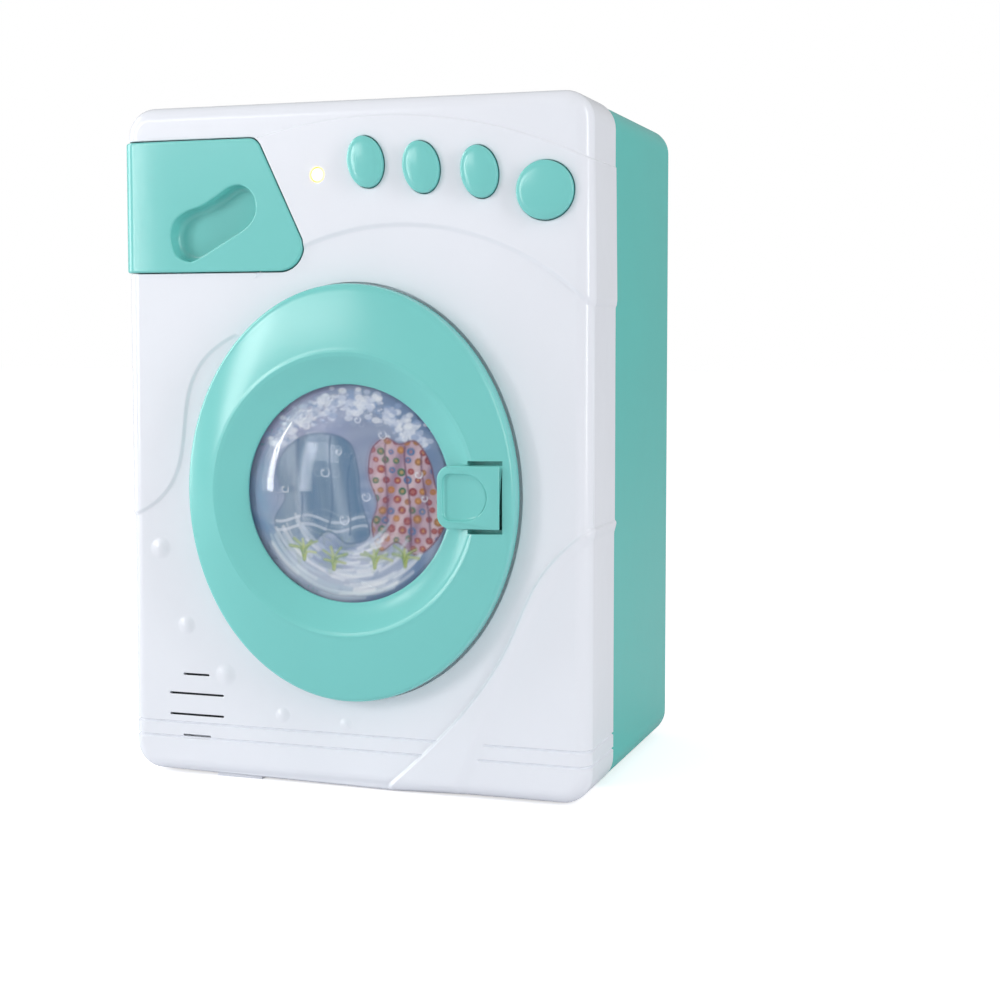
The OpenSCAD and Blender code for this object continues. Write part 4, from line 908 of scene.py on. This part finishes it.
    # Bubbles with a bright rim and a spark
    for cx, cz, size in (
            (-9, 7, 1.5), (-2, -9, 1.6), (12, 20, 1.3), (25, 7, 1.2), (-24, 1, 1.2), (6, -1, 1.4),
            (27, -1, 1.0), (-17, 26, 1.1), (3, 25, 1.0), (-4, 14, 0.9), (20, 19, 0.9)):
        rim = clamp((0.3 - abs(np.hypot(x - cx, z - cz) - size)) / 0.3 + 0.2)
        lay(("#eef3fa", 0.75 * rim * ramp((cz + 1.2 * size - z) / size)),
            ("#ffffff", 0.8 * clamp((0.4 - np.hypot(x - cx + 0.4 * size, z - cz - 0.4 * size)) / 0.3)))
    return clamp(paint)


class WASHER_OT_latch(bpy.types.Operator):
    """Models the latch tab with its finger recess, pivot and hook"""

    bl_idname = "washer.latch"
    bl_label = "Latch"

    def execute(self, context):
        piece = blank("latch_grip")
        low, high = LATCH_Z - LATCH_TALL / 2, LATCH_Z + LATCH_TALL / 2
        with shaping(piece):
            drawn_box((LATCH_LEFT, LATCH_FRONT, low), (LATCH_RIGHT, LATCH_BACK, high))
            rounded_edges(4.5, 10, lambda x, y, z, e: x < LATCH_LEFT + 0.1
                          and LATCH_FRONT + 0.1 < y < LATCH_BACK - 0.1)
            sound()
        r = LATCH_TALL / 2 - 2.7
        x0, x1 = LATCH_LEFT + 1.9, LATCH_RIGHT - 4.2 - r
        outline = np.concatenate([
            arc((x1, LATCH_Z), r, -90, 90, 24), arc((x0 + 2.5, LATCH_Z + r - 2.5), 2.5, 90, 180, 6),
            arc((x0 + 2.5, LATCH_Z - r + 2.5), 2.5, 180, 270, 6)])

        def grip_recess():
            drawn_plate(outline, LATCH_FRONT - 1, LATCH_FRONT + 1.5)
            rounded_edges(0.9, 4, lambda x, y, z, e: y > LATCH_FRONT + 1.4)

        carved(piece, grip_recess)
        softened(piece, 0.4, 3, 45)

        def thinned(x, y, z):
            """The grip thins towards its right end."""
            past, under = x - 44, LATCH_FRONT + 1.4 - y
            return (x, y + 0.13 * past * min(1, under / 0.8), z) if past > 0 and under > 0 else None

        low, high = LATCH_Z - 5, LATCH_Z + 5
        with shaping(piece):
            moved(thinned)
            # Pivot, arm and hook
            drawn_bar(*LATCH_PIN, 2.2, low, high)
            drawn_box((52.3, LATCH_BACK - 0.5, low), (54.5, 5.2, high))
            drawn_box((54.4, 2.8, low), (56.8, 5.2, high))
        done(piece, "latch", "mint_abs", ["latch_tab"])
        return {"FINISHED"}


# Drawer

# Outline of the finger recess
PULL = [
    (-66.7, 190.5), (-64.8, 184.6), (-60.5, 182.2), (-56.2, 183.0), (-46, 188.6), (-37.8, 193.3), (-34.2, 198),
    (-34.6, 204), (-38.6, 207.7), (-43.5, 207.6), (-49, 204.4), (-55, 201.2), (-61, 199.2), (-65.2, 196),
]
# Where the face begins to fall away to the left, and how far it falls
CROWN_FROM, CROWN_DROP = -66.0, 1.1


class WASHER_OT_drawer(bpy.types.Operator):
    """Models the drawer front with its finger recess"""

    bl_idname = "washer.drawer"
    bl_label = "Drawer front"

    def execute(self, context):
        def crowned(x, y, z):
            """The face falls away towards its left end."""
            bend = max(0, CROWN_FROM - x) / (CROWN_FROM - DRAWER_LEFT)
            return (x, y + CROWN_DROP * bend**2, z) if y < DRAWER_DEPTH / 2 else None

        piece = blank("drawer_face")
        with shaping(piece):
            drawn_plate(drawer_outline(0), -1, DRAWER_DEPTH)
            sound()
            rounded_edges(4.5, 10, lambda x, y, z, e: x < DRAWER_LEFT + 0.1 and y < -0.9 and abs(z - 201) < 5)
            rounded_edges(0.8, 4, lambda x, y, z, e: y < DRAWER_DEPTH - 0.1 and e.calc_face_angle(0) > 1)
            for x in np.arange(-81, -61, 1.5):
                bpy.ops.mesh.select_all(action="SELECT")
                bpy.ops.mesh.bisect(plane_co=place(x, 0, 0), plane_no=(1, 0, 0))
            moved(crowned)
        rim = smooth_loop(PULL, 5)

        def pull_recess():
            drawn_plate(rim[::-1], -3, 5.5)
            rounded_edges(2.0, 5, lambda x, y, z, e: y > 5.4)

        carved(piece, pull_recess)
        with shaping(piece):
            rounded_edges(0.6, 4, lambda x, y, z, e: abs(y + 1) < 0.02 and e.calc_face_angle(0) > 1
                 and line_distance(np.array([[x, z]]), rim, True)[0] < 0.15)
        done(piece, "drawer", "mint_abs", ["drawer_front"])
        evened(piece)
        return {"FINISHED"}


# Buttons and lamp


class WASHER_OT_buttons(bpy.types.Operator):
    """Models the three oval buttons and the round one, each with a soft shoulder and a low dome"""

    bl_idname = "washer.buttons"
    bl_label = "Buttons"

    def execute(self, context):
        for node, body, (cx, cz), (w, h), lean in BUTTONS:
            piece = blank(node.replace("button", "key"))
            # Stem, flange, walls and shoulder, and then the dome
            rings = [(2.6, 2.6, 7.4), (2.6, 2.6, 4.2)] + [(w + grow, h + grow, y) for grow, y in (
                (1.2, 4.2), (1.2, 2.7), (0, 2.7), (0, -2.5), (-0.06, -2.75), (-0.25, -2.93), (-0.7, -3.12),
                (-1.2, -3.32), (-1.5, -3.45))]
            for t in np.arange(7, -1, -1) / 8:
                rings.append(((w - 1.5) * t, (h - 1.5) * t, -3.45 - 0.55 * (1 - t * t) ** 0.9))
            with shaping(piece):
                drawn_rings((cx, cz), rings, 72, True)
                sound()
                if lean:
                    bpy.ops.transform.rotate(value=math.radians(lean), orient_axis="Y",
                                             center_override=place(cx, 0, cz))
            done(piece, body, "mint_abs", [node])
        return {"FINISHED"}


class WASHER_OT_lamp(bpy.types.Operator):
    """Models the indicator lamp with its lens, collar and leads"""

    bl_idname = "washer.lamp"
    bl_label = "Indicator lamp"

    def execute(self, context):
        piece = blank("lamp_lens")
        with shaping(piece):
            # Collar, wall, and a lens that is half a ball
            rings = [(LAMP_R + 0.5, 4.4), (LAMP_R + 0.5, 2.7), (LAMP_R, 2.7), (LAMP_R, 0.7)]
            rings += [(LAMP_R * math.cos(t), 0.7 - LAMP_R * math.sin(t)) for t in np.radians(range(9, 90, 9))]
            drawn_rings(LAMP_AT, circles(*rings, (0, 0.7 - LAMP_R)), 48, True)
            for side in (-1, 1):
                drawn_rings((LAMP_AT[0] + side * 1.2, LAMP_AT[1]), circles((0.3, 4.3), (0.3, 12)), 12, True)
        done(piece, "cabinet", "lamp", ["indicator_lamp"])
        return {"FINISHED"}


# Finishes


def add(tree, kind, links=None, **settings):
    """Adds one shader node. Links maps an input to its value, or to the output or node that feeds it."""
    node = tree.nodes.new("ShaderNode" + kind)
    for key, value in settings.items():
        setattr(node, key, value)
    for key, value in (links or {}).items():
        if isinstance(value, bpy.types.Node):
            value = value.outputs[0]
        if isinstance(value, bpy.types.NodeSocket):
            tree.links.new(value, node.inputs[key])
        else:
            node.inputs[key].default_value = value
    return node


def finished(name, build):
    """A material of nodes. Build takes the tree and the Object coordinates, and gives the shader's inputs."""
    material = bpy.data.materials.new(name)
    material.use_nodes = True
    tree = material.node_tree
    tree.nodes.clear()
    spots = add(tree, "TexCoord").outputs["Object"]
    shader = add(tree, "BsdfPrincipled", build(tree, spots))
    add(tree, "OutputMaterial", {"Surface": shader})
    return material


def moulded(name, colour, roughness, ior):
    """Injection-moulded plastic: a faint large drift in tone, and a gentle waviness from the cooled melt."""

    def build(tree, spots):
        # Tone drifts by 4 percent over about 60 mm, as pigment does in a large moulding
        drift = add(tree, "TexNoise", {"Vector": spots, "Scale": 1 / 0.06, "Detail": 2.0})
        deep, pale = ((*(min(1, c * share) for c in colour), 1) for share in (0.96, 1.04))
        mix = add(tree, "Mix", {"Factor": drift, "A": deep, "B": pale}, data_type="RGBA")
        gloss = add(tree, "MapRange", {
            "Value": drift, "To Min": roughness * 0.9, "To Max": roughness * 1.1})
        # Waves of about 9 mm in the gloss, and the mould's fine texture of 0.4 mm
        waves = add(tree, "TexNoise", {"Vector": spots, "Scale": 1 / 0.009, "Detail": 1.0})
        grain = add(tree, "TexNoise", {"Vector": spots, "Scale": 1 / 0.0004, "Detail": 2.0})
        bump = add(tree, "Bump", {"Height": waves, "Distance": 0.0004, "Strength": 0.12})
        fine = add(tree, "Bump", {
            "Height": grain, "Normal": bump, "Distance": 0.00002, "Strength": 0.2})
        return {"Base Color": mix.outputs[2], "Roughness": gloss, "IOR": ior,
                "Normal": fine}

    return finished(name, build)


def metal(name, colour, roughness):
    """A drawn or plated metal with fine marks 0.6 mm apart."""

    def build(tree, spots):
        marks = add(tree, "TexNoise", {"Vector": spots, "Scale": 1 / 0.0006, "Detail": 3.0})
        gloss = add(tree, "MapRange", {
            "Value": marks, "To Min": roughness * 0.7, "To Max": roughness * 1.3})
        bump = add(tree, "Bump", {"Height": marks, "Distance": 0.00003, "Strength": 0.3})
        return {"Base Color": (*linear(colour), 1), "Metallic": 1.0, "Roughness": gloss,
                "Normal": bump}

    return finished(name, build)


def clear_styrene(name, tint):
    """Polished clear polystyrene: nearly colourless, smooth and bright in its reflections."""

    def build(tree, spots):
        flow = add(tree, "TexNoise", {"Vector": spots, "Scale": 1 / 0.02, "Detail": 1.0})
        bump = add(tree, "Bump", {"Height": flow, "Distance": 0.0002, "Strength": 0.08})
        return {"Base Color": (*tint, 1), "Roughness": 0.03, "IOR": 1.59, "Transmission Weight": 1.0,
                "Alpha": 0.16, "Normal": bump}

    return finished(name, build)


def printed_card(name):
    """Offset print on coated card: the print's colours with their painted reflection at the upper left, and
    paper fibre of about 0.5 mm in the gloss.
    """

    def build(tree, spots):
        ink = add(tree, "Attribute", attribute_name="print")
        fibre = add(tree, "TexNoise", {"Vector": spots, "Scale": 1 / 0.0005, "Detail": 3.0})
        gloss = add(tree, "MapRange", {"Value": fibre, "To Min": 0.35, "To Max": 0.5})
        return {"Base Color": ink, "Roughness": gloss, "IOR": 1.5}

    return finished(name, build)


def lit_lens(name, glow):
    """A tinted epoxy lens with the light behind it, brightest at the lamp's middle."""

    def build(tree, spots):
        middle = place(LAMP_AT[0], -1.8, LAMP_AT[1])
        near = add(tree, "VectorMath", {0: spots, 1: middle}, operation="DISTANCE").outputs["Value"]
        core = add(tree, "MapRange", {
            "Value": near, "From Min": 0.0006, "From Max": 0.003, "To Min": 1.0, "To Max": 0.0})
        tint = add(tree, "Mix", {
            "Factor": core, "A": (*linear("#ffd24a"), 1), "B": (*linear("#fffbe6"), 1)},
            data_type="RGBA")
        return {"Base Color": (*linear("#ffe08a"), 1), "Roughness": 0.12, "IOR": 1.5,
                "Emission Color": tint.outputs[2], "Emission Strength": glow}

    return finished(name, build)


class WASHER_OT_finishes(bpy.types.Operator):
    """Makes every finish of the toy and gives the frame's own parts theirs"""

    bl_idname = "washer.finishes"
    bl_label = "Finishes"

    def execute(self, context):
        look = context.scene.washer_finishes
        # Slot, colour, roughness and refractive index
        for slot, colour, roughness, ior in (
                ("white_abs", look.white, 0.22, 1.53),
                ("mint_abs", look.mint, 0.2, 1.53),
                ("rear_mint_abs", look.deep_mint, 0.26, 1.53),
                ("acetal", linear("#f1f0e8"), 0.35, 1.48),
                ("tub_plastic", linear("#e9edf2"), 0.4, 1.49),
                ("rubber", linear("#d8d3c5"), 0.7, 1.43),
                ("circuit_board", linear("#2b7a4b"), 0.45, 1.55),
                ("speaker_black", linear("#34373c"), 0.6, 1.5),
                ("cell_wrap", linear("#c4522c"), 0.3, 1.55)):
            FINISHES[slot] = moulded("finish_" + slot, colour, roughness, ior)
        FINISHES["steel"] = metal("zinc_plated_steel", "#b9bcc0", 0.28)
        FINISHES["spring_steel"] = metal("nickel_plated_spring_wire", "#c9c8c2", 0.22)
        FINISHES["brass"] = metal("turned_brass", "#c9a24e", 0.25)
        FINISHES["clear_window"] = clear_styrene("clear_polystyrene", look.window_tint)
        FINISHES["printed_card"] = printed_card("printed_coated_card")
        FINISHES["lamp"] = lit_lens("lit_epoxy_lens", look.lamp_glow)
        for row in frame["record"]["subparts"]:
            for holder in frame["nodes"][row["node"]].material_slots:
                holder.material = FINISHES[row["material_slot"]]
        return {"FINISHED"}


# Stage

# Name, place, size and power of each light
LIGHTS = (
    ("left_strip", (-1.23, -0.22, 0.42), (0.42, 1.2), 8.5),
    ("drawer_strip", (-0.92, -0.96, 0.33), (0.2, 0.6), 3.2),
    ("front_softbox", (-0.72, -1.15, 0.56), (0.5, 0.25), 1.9),
    ("right_strip", (1.2, -0.4, 0.5), (0.25, 1.0), 6.0),
)
LIGHTS_AIM = Vector((0, 0, 0.12))
CAMERA_AT, CAMERA_AIM = Vector((0.233835, -0.5987, 0.15476)), Vector((0.054163, -0.052, 0.118))
FOCAL_LENGTH, SENSOR_WIDTH, SHIFT_Y = 62.76, 36.0, -0.0484


def set_up(name, data, at, aim):
    """Adds a light or camera to the scene, turned towards its aim."""
    item = bpy.data.objects.new(name, data)
    bpy.context.scene.collection.objects.link(item)
    item.location = at
    item.rotation_euler = (aim - Vector(at)).to_track_quat("-Z", "Y").to_euler()
    return item


class WASHER_OT_stage(bpy.types.Operator):
    """Adds the pale floor, the soft studio lights and the camera"""

    bl_idname = "washer.stage"
    bl_label = "Stage"

    def execute(self, context):
        scene = context.scene
        floor = blank("floor")
        with shaping(floor):
            bpy.ops.mesh.primitive_grid_add(x_subdivisions=8, y_subdivisions=8, size=12, location=(0, 2, 0))
        paper = bpy.data.materials.new("pale_paper")
        paper.use_nodes = True
        nodes = paper.node_tree
        # The paper glows for the camera alone, so that it runs into the white backdrop
        seen = add(nodes, "LightPath")
        glow = add(nodes, "MapRange", {"Value": seen, "To Min": 0.0, "To Max": 0.6})
        shader = nodes.nodes["Principled BSDF"]
        nodes.links.new(glow.outputs["Result"], shader.inputs["Emission Strength"])
        for key, value in (("Base Color", (*linear("#e8e8ec"), 1)), ("Roughness", 0.9),
                           ("Emission Color", (1, 1, 1, 1))):
            shader.inputs[key].default_value = value
        floor.data.materials.append(paper)
        world = scene.world = bpy.data.worlds.new("studio")
        world.use_nodes = True
        sky = world.node_tree.nodes["Background"]
        sky.inputs["Color"].default_value = (1, 1, 1, 1)
        # The backdrop is white where the camera sees it, and dimmer as a light, most of all behind the toy
        nodes = world.node_tree
        way = add(nodes, "SeparateXYZ", {"Vector": add(nodes, "TexCoord")}).outputs["Y"]
        light = add(nodes, "MapRange", {
            "Value": way, "From Min": -0.2, "From Max": 0.9, "To Min": 0.55, "To Max": 0.38})
        seen = add(nodes, "LightPath")
        strength = add(nodes, "MapRange", {"Value": seen, "To Min": light, "To Max": 1.0})
        nodes.links.new(strength.outputs["Result"], sky.inputs["Strength"])
        for name, at, size, power in LIGHTS:
            light = bpy.data.lights.new(name, "AREA")
            light.shape, light.size, light.size_y, light.energy = "RECTANGLE", *size, power
            set_up(name, light, at, LIGHTS_AIM)
        lens = bpy.data.cameras.new("camera")
        lens.lens, lens.sensor_width, lens.shift_y = FOCAL_LENGTH, SENSOR_WIDTH, SHIFT_Y
        scene.camera = set_up("camera", lens, CAMERA_AT, CAMERA_AIM)
        scene.view_settings.view_transform = "Standard"
        return {"FINISHED"}


# Add-on


def length(label, about, millimetres):
    return bpy.props.FloatProperty(
        name=label, description=about, default=millimetres * MM, unit="LENGTH", subtype="DISTANCE")


def tint(label, about, colour):
    return bpy.props.FloatVectorProperty(
        name=label, description=about, default=linear(colour), size=3, subtype="COLOR", min=0, max=1)


class WasherSizes(bpy.types.PropertyGroup):
    half_width: length("Half width", "Half the width of the front moulding", 85)
    height: length("Height", "Height of the cabinet", 236)
    depth: length("Depth", "Depth from the front panel to the back", 120)
    seam_depth: length("Seam depth", "Depth of the front moulding", 31.7)
    wall: length("Wall", "Wall of both mouldings", 2.4)
    corner_radius: length("Corner radius", "Corner radius seen from the front", 10)
    front_rounding: length("Front rounding", "Rounding of the front edges", 5)
    back_rounding: length("Back rounding", "Rounding of the back edges", 6)
    step_height: length("Step height", "Height of the raised panel and ribbon", 0.8)
    dip_depth: length("Dip depth", "Depth of the lowered lower left area", 0.6)
    door_half_width: length("Door half width", "Half the width of the oval door", 59.5)
    door_half_height: length("Door half height", "Half the height of the oval door", 70.8)
    crest_radius: length("Crest radius", "Radius of the door's sharp ring", 47.5)
    rim_height: length("Rim height", "Height of the door's face at its outer edge", 7.8)
    crest_height: length("Crest height", "Height of the sharp ring above the panel", 11)
    window_radius: length("Window radius", "Radius of the window opening", 37)
    window_edge_height: length("Window edge height", "Height of the window's edge above the panel", 6.2)
    dome_height: length("Dome height", "Height of the window's middle above the panel", 16)


class WasherFinishes(bpy.types.PropertyGroup):
    white: tint("White", "Front moulding", "#eceff6")
    mint: tint("Mint", "Door, drawer, latch and buttons", "#79cec9")
    deep_mint: tint("Deep mint", "Rear moulding", "#4cc3bb")
    window_tint: tint("Window", "Clear window", "#f2f6fb")
    lamp_glow: bpy.props.FloatProperty(
        name="Lamp glow", description="Strength of the lit lamp", default=3.0, min=0)


STEPS = (WASHER_OT_finishes, WASHER_OT_front_moulding, WASHER_OT_rear_moulding, WASHER_OT_battery_hatch,
         WASHER_OT_door_frame, WASHER_OT_door_window, WASHER_OT_latch, WASHER_OT_drawer, WASHER_OT_buttons,
         WASHER_OT_lamp, WASHER_OT_stage)


class WASHER_PT_panel(bpy.types.Panel):
    bl_label = "Toy washing machine"
    bl_idname = "WASHER_PT_panel"
    bl_space_type = "VIEW_3D"
    bl_region_type = "UI"
    bl_category = "Toy"

    def draw(self, context):
        column = self.layout.column(align=True)
        for step in STEPS:
            column.operator(step.bl_idname)
        for group in (context.scene.washer_sizes, context.scene.washer_finishes):
            box = self.layout.box()
            for name in group.__annotations__:
                box.prop(group, name)


CLASSES = (WasherSizes, WasherFinishes, *STEPS, WASHER_PT_panel)


def register():
    for item in CLASSES:
        bpy.utils.register_class(item)
    bpy.types.Scene.washer_sizes = bpy.props.PointerProperty(type=WasherSizes)
    bpy.types.Scene.washer_finishes = bpy.props.PointerProperty(type=WasherFinishes)


def unregister():
    del bpy.types.Scene.washer_sizes, bpy.types.Scene.washer_finishes
    for item in reversed(CLASSES):
        bpy.utils.unregister_class(item)


def main():
    register()
    for step in STEPS:
        getattr(bpy.ops.washer, step.bl_idname.split(".")[1])()


if __name__ == "__main__":
    main()
